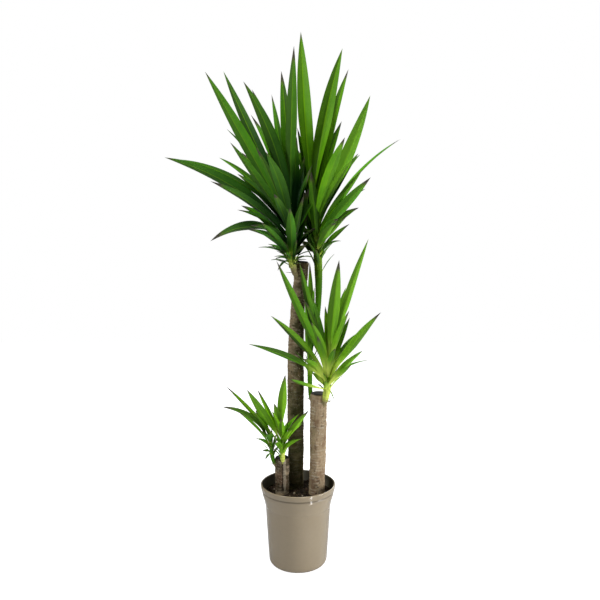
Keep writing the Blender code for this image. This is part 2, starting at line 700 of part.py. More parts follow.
def spray_leaves(shoot, spray, draw):
    """The leaves of a spray: their headings are spread by the golden ratio and they climb with their rank."""
    leaves = []
    for k in range(spray.count):
        rank = (k + 0.5) / spray.count
        turn = (k * GOLDEN_SHARE + 0.3) % 1.0
        heading = math.radians(between(spray.headings, turn))
        climb = math.radians(between(spray.climbs, rank) + draw.uniform(-4, 4))
        length = between(spray.lengths, rank) * draw.uniform(0.9, 1.1) * CM
        seat = between(spray.seats, rank)
        level = math.cos(climb)
        way = np.array([level * math.cos(heading), level * math.sin(heading), math.sin(climb)])
        tip = (seat_place(shoot, seat) + way * length) / CM
        width = spray.width * draw.uniform(0.85, 1.1)
        leaves.append(Leaf(seat, *tip, width, between(SPRAY_SAGS, rank), draw.uniform(0.1, 0.6)))
    return leaves


def all_leaves(shoot):
    """The leaves placed one by one and those of the sprays."""
    draw = random.Random(f"{SEED} {shoot.name}")
    leaves = list(shoot.leaves)
    for spray in shoot.sprays:
        leaves += spray_leaves(shoot, spray, draw)
    return leaves


def make_shoot(shoot, home):
    """A stem with its leaves, joined in one body."""
    places, radii = stem_line(shoot, 0.0)
    stem = rod(shoot.name, places, radii, STEM_SIDES, home)
    blades = collection(shoot.name + "_blades", home)
    for number, leaf in enumerate(all_leaves(shoot)):
        tip = np.array([leaf.right, leaf.back, leaf.up]) * CM
        make_blade(f"blade_{number}", root_place(shoot, leaf), tip, leaf, blades)
    combine(stem, blades, "UNION", "MANIFOLD")
    keep_outer_shell(stem.data)
    discard(blades)
    finish(stem, LEAF_FINISH)


def make_sockets(cane, cutters):
    """A cutter for each shoot that grows from a cane: the shoot's stem with the clearance round it."""
    for shoot in SHOOTS:
        if shoot.cane == cane.name:
            places, radii = stem_line(shoot, GAP)
            as_cutter(rod(shoot.name + "_socket", places, radii, STEM_SIDES, cutters))


def main():
    """Build the plant and its pot."""
    clear_scene()
    home = collection(NAME, bpy.context.scene.collection)
    cutters = collection("cutters", bpy.context.scene.collection)
    cutters.hide_render = True
    make_pot(home, collection("drain_cutters", cutters))
    make_soil(home, collection("hole_cutters", cutters))
    for cane in CANES:
        sockets = collection(cane.name + "_sockets", cutters)
        make_sockets(cane, sockets)
        make_cane(cane, home, sockets)
        make_wax(cane, home, sockets)
    for shoot in SHOOTS:
        make_shoot(shoot, home)


main()
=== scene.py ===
"""Looks of a potted yucca: three rough canes with crowns of long pointed leaves in a taupe nursery pot.

Every piece stands for a node of the frame and lies where that node lies.  Lengths are in metres, the origin
is at the centre of the pot's underside, +Z is up and -Y is the front.
"""

import logging
import math
import random
from collections.abc import Callable
from dataclasses import dataclass, field
from enum import Enum
from typing import NamedTuple, Union

import bmesh
import bpy
import numpy as np
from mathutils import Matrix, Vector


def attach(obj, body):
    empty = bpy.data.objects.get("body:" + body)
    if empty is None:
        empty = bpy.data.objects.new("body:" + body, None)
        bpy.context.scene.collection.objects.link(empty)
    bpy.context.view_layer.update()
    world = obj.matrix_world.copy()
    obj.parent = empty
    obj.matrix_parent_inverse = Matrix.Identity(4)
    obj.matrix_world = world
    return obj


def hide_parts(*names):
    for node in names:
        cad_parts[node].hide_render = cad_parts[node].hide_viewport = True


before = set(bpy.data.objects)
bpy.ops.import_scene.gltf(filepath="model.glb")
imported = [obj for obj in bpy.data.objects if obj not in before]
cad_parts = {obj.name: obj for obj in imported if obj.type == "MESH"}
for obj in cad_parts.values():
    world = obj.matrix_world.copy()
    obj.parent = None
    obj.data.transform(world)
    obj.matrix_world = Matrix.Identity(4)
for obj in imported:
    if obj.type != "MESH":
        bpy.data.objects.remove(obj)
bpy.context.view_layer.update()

Array = np.ndarray
Socket = bpy.types.NodeSocket
Colour = tuple[float, float, float]
Value = Union[float, tuple, "Wire"]

LOG = logging.getLogger("yucca")
BODY = "root"
CM = 0.01
MM = 0.001
SEAT_GAP = 0.0003                # left free between two pieces that touch
SPECULAR = "Specular IOR Level"
MATTE = 0.15                     # specular level of soil and bark
SATIN_IOR = 1.18                 # of leaves and stems, which shine less than plastic

# How the leaves and stems are laid out: the same rules as in the solid model
CANE_BUTT = 0.1403               # lowest point of a cane, inside the soil
BUTT_SWELL = 1.06
BUTT_FADE = 0.03
SAG_RANGE = (0.10, 0.03)
GOLDEN_SHARE = 0.618034
SEED = 60
ROOT_SHARE = 0.35
FOOT_WIDTH = 0.34
GROWTH_POWER = 1.3
LEAF_BROADEST = 0.5
TURN_SHARE = 0.5

# The hollow between the two tall crowns, where the leaves get painted shade: its axis and reach to the side
# and to the back, the heights where it begins and ends, and its depth on the axis before it is cut off at 1
HOLLOW_AXIS = (-0.006, 0.045)
HOLLOW_REACH = (0.032, 0.060)
HOLLOW_FOOT = (0.750, 0.800)
HOLLOW_HEAD = (0.960, 1.080)
HOLLOW_DEPTH = 1.4

# Whole numbers that scramble the places of a noise's lattice and its seed, and the shifts and factors that
# scramble the result again
HASH_PRIMES = (73856093, 19349663, 83492791)
HASH_SEED = 2654435761
HASH_STEPS = ((13, 1274126177), (15, 668265263))


class Cane(NamedTuple):
    """A cut stem: its centre line in cm from the soil to the cut top, and its radius in mm at each point."""

    name: str
    line: tuple
    radii: tuple

    def foot(self) -> tuple[float, float, float]:
        """Where it enters the soil, x and y, and the radius of its swollen butt, in metres."""
        return self.line[0][0] * CM, self.line[0][1] * CM, self.radii[0] * MM * BUTT_SWELL


class Leaf(NamedTuple):
    """A leaf by the place of its tip.

    seat is the share of the crown's length where it grows; right, back and up are the tip's place in cm from
    the centre of the pot's foot; width is in mm; sag is how far the middle stands above the straight line
    from seat to tip, as a share of the length; face is how far the blade turns from level, 0, to flat to the
    front, 1.
    """

    seat: float
    right: float
    back: float
    up: float
    width: float
    sag: float = 0.03
    face: float = 0.3


class Spray(NamedTuple):
    """Leaves spread by the golden ratio over a sector of headings, 0 to the right and 90 to the back."""

    count: int
    headings: tuple              # first and last heading, degrees
    climbs: tuple                # rise above level of the lowest and the highest leaf, degrees
    lengths: tuple               # of the lowest and the highest leaf, cm
    width: float                 # mm
    seats: tuple = (0.05, 0.9)


class Shoot(NamedTuple):
    """A leafy stem: line in cm from inside the cane to the heart of the crown, and radii in mm along it."""

    name: str
    line: tuple                  # its last two points are the ends of the leaf-bearing crown
    radii: tuple
    leaves: tuple
    sprays: tuple


CANES = (
    Cane(
        "cane_tall",
        ((-0.6, 3.3, 19.0), (-0.6, 3.3, 40.0), (-0.6, 3.3, 50.0), (-0.2, 3.3, 64.0), (1.1, 3.3, 77.5)),
        (19.5, 20.8, 20.8, 17.8, 16.6),
    ),
    Cane("cane_medium", ((4.8, -0.7, 18.7), (5.0, -0.7, 30.0), (5.25, -0.7, 44.8)), (19.5, 20.0, 21.0)),
    Cane("cane_short", ((-4.0, -0.5, 18.7), (-4.05, -0.5, 28.1)), (16.6, 18.2)),
)

SHOOTS = (
    Shoot(
        "shoot_tall_left",
        ((-0.1, 2.5, 73.6), (-0.8, 1.7, 75.0), (-1.2, 1.2, 76.6), (-1.5, 1.0, 78.0), (-1.9, 1.0, 92.0)),
        (5.5, 7.5, 8.5, 9.5, 4.0),
        (
            Leaf(0.00, -8.3, -14.0, 87.9, 18, 0.02), Leaf(0.00, -1.8, -12.0, 91.0, 23, 0.02),
            Leaf(0.00, -5.6, -7.0, 79.6, 9, 0.05), Leaf(0.00, -4.9, -2.4, 75.8, 10, 0.15, 0.6),
            Leaf(0.00, 2.0, 0.4, 81.8, 17, 0.12, 0.9), Leaf(0.04, 2.4, 1.9, 89.0, 20, 0.03, 0.8),
            Leaf(0.06, 0.6, 4.0, 93.0, 22, 0.03, 0.8), Leaf(0.00, -9.6, -3.0, 81.5, 10, 0.12),
            Leaf(0.03, -10.8, -17.0, 86.8, 11, 0.04), Leaf(0.05, -7.0, -8.0, 82.6, 13, 0.05),
            Leaf(0.08, 1.4, -6.0, 93.9, 16, 0.03), Leaf(0.02, 2.9, 2.6, 96.0, 22, 0.03, 0.9),
            Leaf(0.10, 1.7, 4.2, 103.5, 25, 0.03, 0.9), Leaf(0.16, -0.3, 5.6, 108.5, 26, 0.03, 0.9),
            Leaf(0.12, -4.3, -9.0, 96.2, 18, 0.03), Leaf(0.20, -12.6, 3.0, 85.6, 14, 0.08, 0.6),
            Leaf(0.32, -20.1, -11.0, 83.4, 27, 0.17, 0.6), Leaf(0.36, -15.5, 8.0, 90.4, 15, 0.07, 0.5),
            Leaf(0.38, -19.3, -16.0, 96.9, 22, 0.05, 0.4), Leaf(0.46, -30.9, -7.0, 102.6, 29, 0.08, 0.7),
            Leaf(0.50, -15.1, -13.0, 105.6, 22, 0.02, 0.6), Leaf(0.52, -6.6, -24.0, 102.7, 27, 0.05),
            Leaf(0.60, -32.4, 12.0, 103.3, 18, 0.09, 0.4), Leaf(0.60, -20.9, 17.0, 104.0, 18, 0.06, 0.4),
            Leaf(0.66, -21.2, -7.0, 121.9, 31, 0.00, 0.9), Leaf(0.74, -18.6, 9.0, 124.7, 27, 0.00, 0.9),
            Leaf(0.78, -12.7, -4.0, 120.2, 31, 0.06, 0.9), Leaf(0.84, -11.8, 13.0, 120.9, 24, 0.05, 0.6),
            Leaf(0.88, -6.7, 11.0, 119.4, 18, 0.02, 0.6), Leaf(0.92, -4.1, 6.0, 124.3, 28, 0.02, 0.9),
            Leaf(1.00, -0.9, -1.0, 128.8, 27, 0.01, 0.9),
        ),
        (
            Spray(6, (122, 178), (28, 62), (20, 30), 25),
            Spray(3, (75, 120), (60, 74), (15, 22), 24, (0.05, 0.35)),
            Spray(3, (222, 262), (18, 50), (16, 25), 22, (0.1, 0.6)),
        ),
    ),
    Shoot(
        "shoot_tall_right",
        (
            (0.6, 3.8, 54.2), (2.4, 4.7, 56.4), (4.4, 5.2, 60.5),
            (5.2, 5.3, 68.0), (5.0, 5.3, 78.5), (3.6, 5.2, 93.0),
        ),
        (5.5, 7.0, 6.4, 8.0, 11.0, 4.0),
        (
            Leaf(0.00, 10.4, -4.0, 83.1, 10, 0.10), Leaf(0.05, 13.2, 9.0, 86.8, 16, 0.04, 0.5),
            Leaf(0.10, 8.8, -9.0, 87.6, 22, 0.04), Leaf(0.00, 0.8, 6.4, 82.4, 18, 0.12, 0.9),
            Leaf(0.00, 0.9, 3.4, 87.0, 17, 0.04, 0.8), Leaf(0.00, 3.2, 7.6, 88.0, 20, 0.03, 0.8),
            Leaf(0.02, 0.9, 8.4, 91.5, 20, 0.05, 0.7), Leaf(0.03, 2.0, 7.0, 97.0, 24, 0.03, 0.9),
            Leaf(0.12, 1.0, 7.6, 104.0, 24, 0.03, 0.9), Leaf(0.12, 12.2, 2.0, 89.0, 15, 0.05, 0.6),
            Leaf(0.15, 3.1, -2.0, 99.8, 24, 0.02), Leaf(0.30, 16.8, -9.0, 98.0, 26, 0.02, 0.8),
            Leaf(0.40, 15.2, -4.0, 99.8, 18, 0.02, 0.7), Leaf(0.42, 26.3, 12.0, 108.4, 12, 0.07, 0.3),
            Leaf(0.48, 16.0, 18.0, 105.2, 22, 0.03), Leaf(0.50, 8.7, -8.0, 104.0, 16, 0.02),
            Leaf(0.54, 10.5, -14.0, 106.6, 27, 0.04, 0.5), Leaf(0.64, 16.9, -4.0, 117.0, 33, -0.02, 0.9),
            Leaf(0.70, -0.2, 7.0, 110.8, 20, 0.00, 0.6), Leaf(0.80, 13.0, 15.0, 126.3, 26, 0.03, 0.6),
            Leaf(0.84, 8.5, 12.0, 122.6, 30, 0.03, 0.8), Leaf(0.92, 11.0, 8.0, 130.0, 35, 0.03, 0.9),
            Leaf(1.00, 0.7, 9.0, 134.2, 35, 0.00, 0.9),
        ),
        (
            Spray(6, (25, 92), (30, 62), (18, 29), 26),
            Spray(4, (98, 165), (56, 76), (16, 26), 27, (0.05, 0.8)),
            Spray(3, (275, 322), (18, 50), (16, 25), 22, (0.1, 0.6)),
        ),
    ),
    Shoot(
        "shoot_medium_front",
        ((6.2, -1.7, 41.8), (6.7, -2.3, 43.2), (7.0, -2.6, 45.0), (7.2, -2.8, 46.6), (7.4, -3.0, 52.6)),
        (5.5, 7.5, 8.5, 9.4, 4.0),
        (
            Leaf(0.00, 8.7, -8.0, 45.2, 6, 0.08), Leaf(0.00, 3.4, -1.5, 50.4, 12, 0.08, 0.8),
            Leaf(0.00, -2.3, -12.0, 51.5, 13, -0.04, 0.6), Leaf(0.08, 12.6, -11.0, 54.4, 17, 0.02, 0.6),
            Leaf(0.14, 15.0, -13.0, 58.2, 18, 0.03, 0.6), Leaf(0.30, -11.5, -13.0, 59.8, 20, 0.05, 0.7),
            Leaf(0.34, 19.7, -8.0, 66.5, 22, 0.03, 0.9), Leaf(0.40, 4.6, -9.0, 61.0, 18, 0.02),
            Leaf(0.48, 13.1, 3.5, 63.4, 17, 0.02, 0.4), Leaf(0.50, -6.3, -11.0, 66.1, 19, 0.04, 0.8),
            Leaf(0.60, 3.4, -6.5, 70.0, 20, 0.02, 0.6), Leaf(0.70, -5.0, -9.0, 78.8, 20, 0.00, 0.9),
            Leaf(0.72, 12.0, 3.0, 71.1, 20, 0.03, 0.6), Leaf(0.80, 0.4, -5.0, 78.0, 20, -0.01, 0.9),
            Leaf(0.84, 17.0, -3.0, 83.6, 20, 0.01, 0.9), Leaf(0.92, 9.7, -8.0, 78.9, 29, 0.02, 0.9),
            Leaf(1.00, 6.7, -1.0, 67.0, 15, 0.02),
        ),
        (
            Spray(4, (-72, 50), (30, 66), (12, 19), 18),
            Spray(4, (200, 285), (35, 70), (12, 19), 18),
        ),
    ),
    Shoot(
        "shoot_medium_back",
        ((4.2, 0.2, 41.4), (3.4, 1.0, 43.0), (3.1, 1.3, 45.2), (3.0, 1.2, 50.0), (3.1, 0.9, 55.5)),
        (4.5, 5.5, 5.8, 6.6, 3.5),
        (
            Leaf(0.05, 1.7, -1.4, 62.0, 13, 0.04, 0.5), Leaf(0.20, 4.6, 2.2, 63.0, 13, 0.04, 0.7),
            Leaf(0.40, 1.6, -1.3, 70.0, 14, 0.03, 0.7), Leaf(0.60, 4.1, 0.4, 71.5, 15, 0.02, 0.8),
            Leaf(0.80, 2.9, 1.0, 77.7, 16, 0.01, 0.9),
        ),
        (),
    ),
    Shoot(
        "shoot_short_main",
        ((-3.9, -0.9, 25.4), (-3.8, -1.6, 26.8), (-3.85, -1.9, 28.4), (-3.9, -2.0, 29.4), (-4.0, -2.1, 34.4)),
        (4.5, 5.5, 6.0, 6.6, 3.4),
        (
            Leaf(0.00, -6.0, -4.4, 33.4, 9, 0.08, 0.6), Leaf(0.05, -5.4, -5.4, 35.8, 10, 0.06, 0.6),
            Leaf(0.10, 1.5, -7.5, 35.5, 15, 0.06), Leaf(0.40, 2.7, -7.0, 42.3, 17, 0.02, 0.6),
            Leaf(0.45, -18.5, 2.5, 46.0, 13, 0.02, 0.4), Leaf(0.50, -2.5, -4.5, 38.8, 14, 0.02, 0.5),
            Leaf(0.60, -12.6, -3.6, 46.6, 21, 0.00, 0.9), Leaf(0.75, -10.4, 3.0, 45.0, 12, 0.00, 0.5),
            Leaf(0.85, -5.9, -3.2, 43.0, 19, 0.02, 0.8), Leaf(1.00, -3.1, -2.4, 50.1, 23, 0.03, 0.9),
        ),
        (
            Spray(3, (-60, -10), (40, 64), (6, 10), 13),
            Spray(4, (235, 300), (30, 66), (7, 11), 13),
        ),
    ),
    Shoot(
        "shoot_short_side",
        ((-4.8, -0.7, 24.9), (-5.8, -1.0, 26.6), (-6.4, -1.2, 28.2), (-6.6, -1.2, 29.6), (-7.2, -1.0, 34.5)),
        (4.5, 5.0, 5.4, 5.4, 3.0),
        (
            Leaf(0.00, -8.2, -2.6, 28.3, 6, 0.10), Leaf(0.02, -9.0, -0.6, 29.9, 8, 0.08),
            Leaf(0.20, -10.0, 0.8, 32.7, 9, 0.12), Leaf(0.30, -14.7, -6.0, 41.7, 12, 0.05, 0.4),
            Leaf(0.40, -18.9, -4.0, 42.3, 17, 0.14, 0.7), Leaf(0.50, -6.9, -9.0, 37.0, 18, 0.05),
            Leaf(0.90, -10.8, 1.2, 40.0, 16, 0.03, 0.8),
        ),
        (
            Spray(3, (190, 240), (30, 60), (5, 9), 12),
        ),
    ),
)


def between(ends: tuple, share: float) -> float:
    """The value at a share of the way from the first end to the last."""
    return ends[0] + (ends[1] - ends[0]) * share


def unit(rows: Array) -> Array:
    """Every row scaled to length one."""
    return rows / np.linalg.norm(rows, axis=-1, keepdims=True)


def step_between(values: Array, low: float, high: float) -> Array:
    """Smooth step: 0 below low, 1 above high, and 3t^2 - 2t^3 of the share t between them."""
    t = np.clip((values - low) / (high - low), 0.0, 1.0)
    return t * t * (3.0 - 2.0 * t)


def value_noise(points: Array, cell: float | tuple, seed: int) -> Array:
    """Smooth random values from -1 to 1 at points in space.

    Each corner of a lattice gets a fixed random value from whole-number hashing of its place.  A point takes
    the mean of its cell's eight corners, weighted by the smooth step of its place in the cell.

    Args:
        points: places, with x, y and z in the last axis.
        cell: size of a lattice cell, one number or one for each axis.
        seed: number of the random set.

    Returns:
        One value for each point.
    """
    scaled = points / np.asarray(cell, dtype=float)
    base = np.floor(scaled)
    part = scaled - base
    part = part * part * (3.0 - 2.0 * part)
    base = base.astype(np.int64)
    total = np.zeros(points.shape[:-1])
    for corner in np.ndindex(2, 2, 2):
        spot = base + np.array(corner)
        x, y, z = (spot[..., axis] * prime for axis, prime in enumerate(HASH_PRIMES))
        code = x ^ y ^ z ^ seed * HASH_SEED
        for shift, factor in HASH_STEPS:
            code = (code ^ (code >> shift)) * factor & 0x7FFFFFFF
        weight = np.prod(np.where(np.array(corner) == 1, part, 1.0 - part), axis=-1)
        total = total + weight * ((code & 0xFFFFF) / 0x7FFFF - 1.0)
    return total


def layered_noise(points: Array, cell: float | tuple, seed: int, layers: int = 3) -> Array:
    """Sum of value noises, each with half the cell and half the height of the one before."""
    total = np.zeros(points.shape[:-1])
    size = np.asarray(cell, dtype=float)
    for layer in range(layers):
        total = total + value_noise(points, size / 2 ** layer, seed + layer) / 2 ** layer
    return total


def hollow(points: Array) -> Array:
    """How much painted shade a place gets in the hollow between the two tall crowns, from 0 to 1.

    A bell curve of the distance from an upright axis, wider to the back than to the side, fades in over the
    necks and out towards the tips.

    Args:
        points: places, with x, y and z in the last axis.

    Returns:
        One value for each place.
    """
    x, y, z = (points[..., k] for k in range(3))
    aside, away = (x - HOLLOW_AXIS[0]) / HOLLOW_REACH[0], (y - HOLLOW_AXIS[1]) / HOLLOW_REACH[1]
    near = np.clip(HOLLOW_DEPTH * np.exp(-aside ** 2 - away ** 2), 0.0, 1.0)
    return near * step_between(z, *HOLLOW_FOOT) * (1.0 - step_between(z, *HOLLOW_HEAD))


def smooth_line(points: tuple, step: float) -> Array:
    """Points about a step apart on a Catmull-Rom curve through the given ones.

    Between two points the curve is a cubic of the share t, whose slope at each point is half the line from
    the neighbour before to the neighbour after.

    Args:
        points: places to pass through.
        step: distance between two results.

    Returns:
        Places along the curve, one row each.
    """
    knots = np.array(points, dtype=float)
    padded = np.vstack([2 * knots[0] - knots[1], knots, 2 * knots[-1] - knots[-2]])
    pieces = []
    for i in range(len(knots) - 1):
        before, start, end, after = padded[i:i + 4]
        count = max(1, round(float(np.linalg.norm(end - start)) / step))
        t = (np.arange(count) / count)[:, None]
        square = 2 * before - 5 * start + 4 * end - after
        cube = 3 * start - before - 3 * end + after
        pieces.append(start + 0.5 * ((end - before) * t + square * t ** 2 + cube * t ** 3))
    return np.vstack(pieces + [knots[-1:]])


@dataclass
class Surface:
    """A closed mesh with named values, and perhaps a UV place, at every point."""

    points: Array
    quads: Array
    triangles: Array
    values: dict[str, Array] = field(default_factory=dict)
    uv: Array | None = None


def tube(grid: Array, values: dict[str, Array] | None = None, uv: Array | None = None,
         ends: tuple[Array, Array] | None = None) -> Surface:
    """Closed skin over rings of points, with a fan of triangles over each end.

    Args:
        grid: rings x points x 3; each ring runs counter-clockwise round the way the rings follow.
        values: named values on the same grid.
        uv: UV places on the same grid.
        ends: the two middle points of the fans, or None for the middles of the end rings.

    Returns:
        The skin, with its faces outwards.
    """
    rows, sides = grid.shape[:2]
    index = np.arange(rows * sides).reshape(rows, sides)
    after = np.roll(index, -1, axis=1)
    quads = np.stack([index[:-1], after[:-1], after[1:], index[1:]], axis=-1).reshape(-1, 4)
    pole = np.full(sides, rows * sides)
    foot = np.stack([pole, after[0], index[0]], axis=-1)
    head = np.stack([pole + 1, index[-1], after[-1]], axis=-1)
    poles = np.array(ends) if ends else np.array([grid[0].mean(axis=0), grid[-1].mean(axis=0)])
    points = np.vstack([grid.reshape(-1, 3), poles])
    kept = {
        name: np.concatenate([value.ravel(), [value[0].mean(), value[-1].mean()]])
        for name, value in (values or {}).items()
    }
    flat = None
    if uv is not None:
        flat = np.vstack([uv.reshape(-1, 2), uv[0].mean(axis=0), uv[-1].mean(axis=0)])
    return Surface(points, quads, np.vstack([foot, head]), kept, flat)


def joined(parts: list[Surface]) -> Surface:
    """Several surfaces with the same named values as one."""
    starts = np.cumsum([0] + [len(part.points) for part in parts[:-1]])
    quads = np.vstack([part.quads + start for part, start in zip(parts, starts)])
    triangles = np.vstack([part.triangles + start for part, start in zip(parts, starts)])
    values = {name: np.concatenate([part.values[name] for part in parts]) for name in parts[0].values}
    uv = None if parts[0].uv is None else np.vstack([part.uv for part in parts])
    return Surface(np.vstack([part.points for part in parts]), quads, triangles, values, uv)


def ring_axes(way: Array) -> tuple[Array, Array]:
    """The two axes of a ring across a line's direction.

    The first, to the left on an upright line, is the cross product of the depth axis and the direction, and
    the second, to the front, is at right angles to both.

    Args:
        way: one direction, or a row for each.

    Returns:
        The two axes.
    """
    left = unit(np.cross(np.array([0.0, -1.0, 0.0]), way))
    return left, np.cross(way, left)


def rings_along(line: Array, radii: Array, sides: int) -> tuple[Array, Array, Array]:
    """Rings of points across a line, each point at the cosine and the sine of its angle on the ring's axes.

    Args:
        line: places along the line.
        radii: radius at each place, or at each place and side.
        sides: points of a ring.

    Returns:
        The grid of points, the angle of each side, and the direction from the line to each point.
    """
    left, front = ring_axes(unit(np.gradient(line, axis=0)))
    angle = math.tau * np.arange(sides) / sides
    out = left[:, None] * np.cos(angle)[None, :, None] + front[:, None] * np.sin(angle)[None, :, None]
    radii = radii if radii.ndim == 2 else radii[:, None]
    return line[:, None] + out * radii[..., None], angle, out


def solid(name: str, surface: Surface) -> bpy.types.Object:
    """A new object with the surface's points and faces."""
    mesh = bpy.data.meshes.new(name)
    mesh.from_pydata(surface.points.tolist(), [], surface.quads.tolist() + surface.triangles.tolist())
    made = bpy.data.objects.new(name, mesh)
    bpy.context.scene.collection.objects.link(made)
    return made


def place(name: str, surface: Surface, look: bpy.types.Material, nodes: tuple[str, ...] = (),
          crease: float = 50.0) -> bpy.types.Object:
    """Make a piece of the plant from a surface.

    Args:
        name: the piece's name.
        surface: its mesh.
        look: its material.
        nodes: the frame's nodes that it stands for.
        crease: edges that turn by more than this many degrees stay sharp.

    Returns:
        The new object, which rides on the body.
    """
    piece = solid(name, surface)
    mesh = piece.data
    for title, value in surface.values.items():
        mesh.attributes.new(title, "FLOAT", "POINT").data.foreach_set("value", value.astype(np.float32))
    if surface.uv is not None:
        corner = np.empty(len(mesh.loops), dtype=np.int32)
        mesh.loops.foreach_get("vertex_index", corner)
        mesh.uv_layers.new(name="UVMap").data.foreach_set("uv", surface.uv[corner].astype(np.float32).ravel())
    mesh.shade_smooth()
    mesh.set_sharp_from_angle(angle=math.radians(crease))
    mesh.materials.append(look)
    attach(piece, BODY)
    if nodes:
        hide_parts(*nodes)
    LOG.info("%s: %d points", name, len(mesh.vertices))
    return piece


def cut_out(piece: bpy.types.Object, rods: list[tuple[float, ...]], sides: int) -> None:
    """Cut upright round holes in a piece.

    Args:
        piece: the object to cut.
        rods: x, y, radius, lowest and highest point of each hole.
        sides: sides of a hole.
    """
    angle = math.tau * np.arange(sides) / sides
    circle = np.stack([np.cos(angle), np.sin(angle), np.zeros(sides)], axis=-1)
    parts = []
    for x, y, radius, low, high in rods:
        ends = np.array([[x, y, low], [x, y, high]])
        parts.append(tube(ends[:, None] + circle[None] * radius))
    cutter = solid("holes", joined(parts))
    step = piece.modifiers.new("holes", "BOOLEAN")
    step.operation = "DIFFERENCE"
    step.object = cutter
    step.solver = "EXACT"
    bpy.context.view_layer.update()
    made = bpy.data.meshes.new_from_object(piece.evaluated_get(bpy.context.evaluated_depsgraph_get()))
    piece.modifiers.clear()
    piece.data = made
    bpy.data.objects.remove(cutter)


class Nodes:
    """Adds nodes to one node tree and links them."""

    def __init__(self, tree: bpy.types.NodeTree) -> None:
        """Keep the tree."""
        self.tree = tree

    def wire(self, kind: str, inputs: dict[str | int, Value] | None = None, output: int | str = 0,
             **settings: object) -> "Wire":
        """Add a node.

        Args:
            kind: the node's type without its usual prefix.
            inputs: values or wires for its inputs.
            output: which of its outputs is wanted.
            settings: its own properties.

        Returns:
            The output.
        """
        node = self.tree.nodes.new("ShaderNode" + kind)
        for name, setting in settings.items():
            setattr(node, name, setting)
        for name, value in (inputs or {}).items():
            self.feed(node.inputs[name], value)
        return Wire(self, node.outputs[output])

    def feed(self, socket: Socket, value: Value) -> None:
        """Link a wire into an input, or set the input to a plain value."""
        if isinstance(value, Wire):
            self.tree.links.new(value.socket, socket)
        elif socket.type == "RGBA" and len(value) == 3:
            socket.default_value = (*value, 1.0)
        else:
            socket.default_value = value

    def value(self, name: str) -> "Wire":
        """A named value of the mesh."""
        return self.wire("Attribute", output="Fac", attribute_name=name)

    def mix(self, share: Value, first: Value, second: Value) -> "Wire":
        """A mix of two colours."""
        return self.wire("Mix", {0: share, 6: first, 7: second}, 2, data_type="RGBA")

    def group(self, tree: bpy.types.NodeTree, where: "Wire", scale: float) -> tuple["Wire", ...]:
        """The outputs of a shared group that is given its own place and scale."""
        first = self.wire("Group", {"Place": where, "Scale": scale}, node_tree=tree)
        return tuple(Wire(self, socket) for socket in first.socket.node.outputs)


@dataclass(frozen=True)
class Wire:
    """An output of a node.  Reckoning with it, and each of its methods, adds a node that works on it."""

    nodes: Nodes
    socket: Socket

    def math(self, operation: str, other: Value = 0.0) -> "Wire":
        """The result of a Math node."""
        return self.nodes.wire("Math", {0: self, 1: other}, operation=operation)

    def __add__(self, other: Value) -> "Wire":
        """The sum with another value."""
        return self.math("ADD", other)

    def __sub__(self, other: Value) -> "Wire":
        """The value less another."""
        return self.math("SUBTRACT", other)

    def __mul__(self, other: Value) -> "Wire":
        """The product with another value."""
        return self.math("MULTIPLY", other)

    def __truediv__(self, other: Value) -> "Wire":
        """The value as a share of another."""
        return self.math("DIVIDE", other)

    def span(self, low: float, high: float, start: float = 0.0, end: float = 1.0) -> "Wire":
        """The value carried smoothly from a range to another and held there."""
        inputs = {"Value": self, "From Min": low, "From Max": high, "To Min": start, "To Max": end}
        return self.nodes.wire("MapRange", inputs, interpolation_type="SMOOTHSTEP")

    def into(self, other: Value, share: Value) -> "Wire":
        """The colour mixed with another by a share."""
        return self.nodes.mix(share, self, other)

    def scaled(self, share: Value) -> "Wire":
        """The colour made darker or lighter by a factor."""
        return self.nodes.wire("VectorMath", {0: self, "Scale": share}, operation="SCALE")

    def ramp(self, *stops: tuple[float, Colour]) -> "Wire":
        """A colour by the value, through the given (place, colour) stops."""
        made = self.nodes.wire("ValToRGB", {0: self})
        bar = made.socket.node.color_ramp.elements
        while len(bar) < len(stops):
            bar.new(0.5)
        for element, (where, colour) in zip(bar, stops):
            element.position = where
            element.color = (*colour, 1.0)
        return made

    def noise(self, scale: Value, detail: float, rough: float) -> "Wire":
        """Smooth noise from 0 to 1 at this place."""
        inputs = {"Vector": self, "Scale": scale, "Detail": detail, "Roughness": rough}
        return self.nodes.wire("TexNoise", inputs)

    def stretched(self, scale: tuple[float, float, float], offset: Value = (0.0, 0.0, 0.0)) -> "Wire":
        """This place scaled on each axis and moved."""
        return self.nodes.wire("Mapping", {"Vector": self, "Scale": scale, "Location": offset})

    def split(self) -> tuple["Wire", ...]:
        """The three parts of this place."""
        parts = self.nodes.wire("SeparateXYZ", {0: self}).socket.node.outputs
        return tuple(Wire(self.nodes, part) for part in parts)

    def bump(self, strength: float, distance: float, under: "Wire | None" = None) -> "Wire":
        """The normal tilted by this height, on top of another tilt if there is one."""
        inputs = {"Height": self, "Strength": strength, "Distance": distance}
        return self.nodes.wire("Bump", inputs if under is None else {**inputs, "Normal": under})


def shared_group(name: str, scale: float,
                 work: Callable[[Wire, Wire], dict[str, Wire]]) -> bpy.types.NodeTree:
    """A shared group with the inputs Place and Scale.

    Args:
        name: the group's name.
        scale: starting value of its scale.
        work: turns the two inputs into its named outputs.

    Returns:
        The group's tree.
    """
    tree = bpy.data.node_groups.new(name, "ShaderNodeTree")
    tree.interface.new_socket(name="Place", in_out="INPUT", socket_type="NodeSocketVector")
    size = tree.interface.new_socket(name="Scale", in_out="INPUT", socket_type="NodeSocketFloat")
    size.default_value = scale
    nodes, given = Nodes(tree), tree.nodes.new("NodeGroupInput")
    results = work(Wire(nodes, given.outputs["Place"]), Wire(nodes, given.outputs["Scale"]))
    for title in results:
        tree.interface.new_socket(name=title, in_out="OUTPUT", socket_type="NodeSocketFloat")
    last = tree.nodes.new("NodeGroupOutput")
    for title, wire in results.items():
        nodes.feed(last.inputs[title], wire)
    return tree


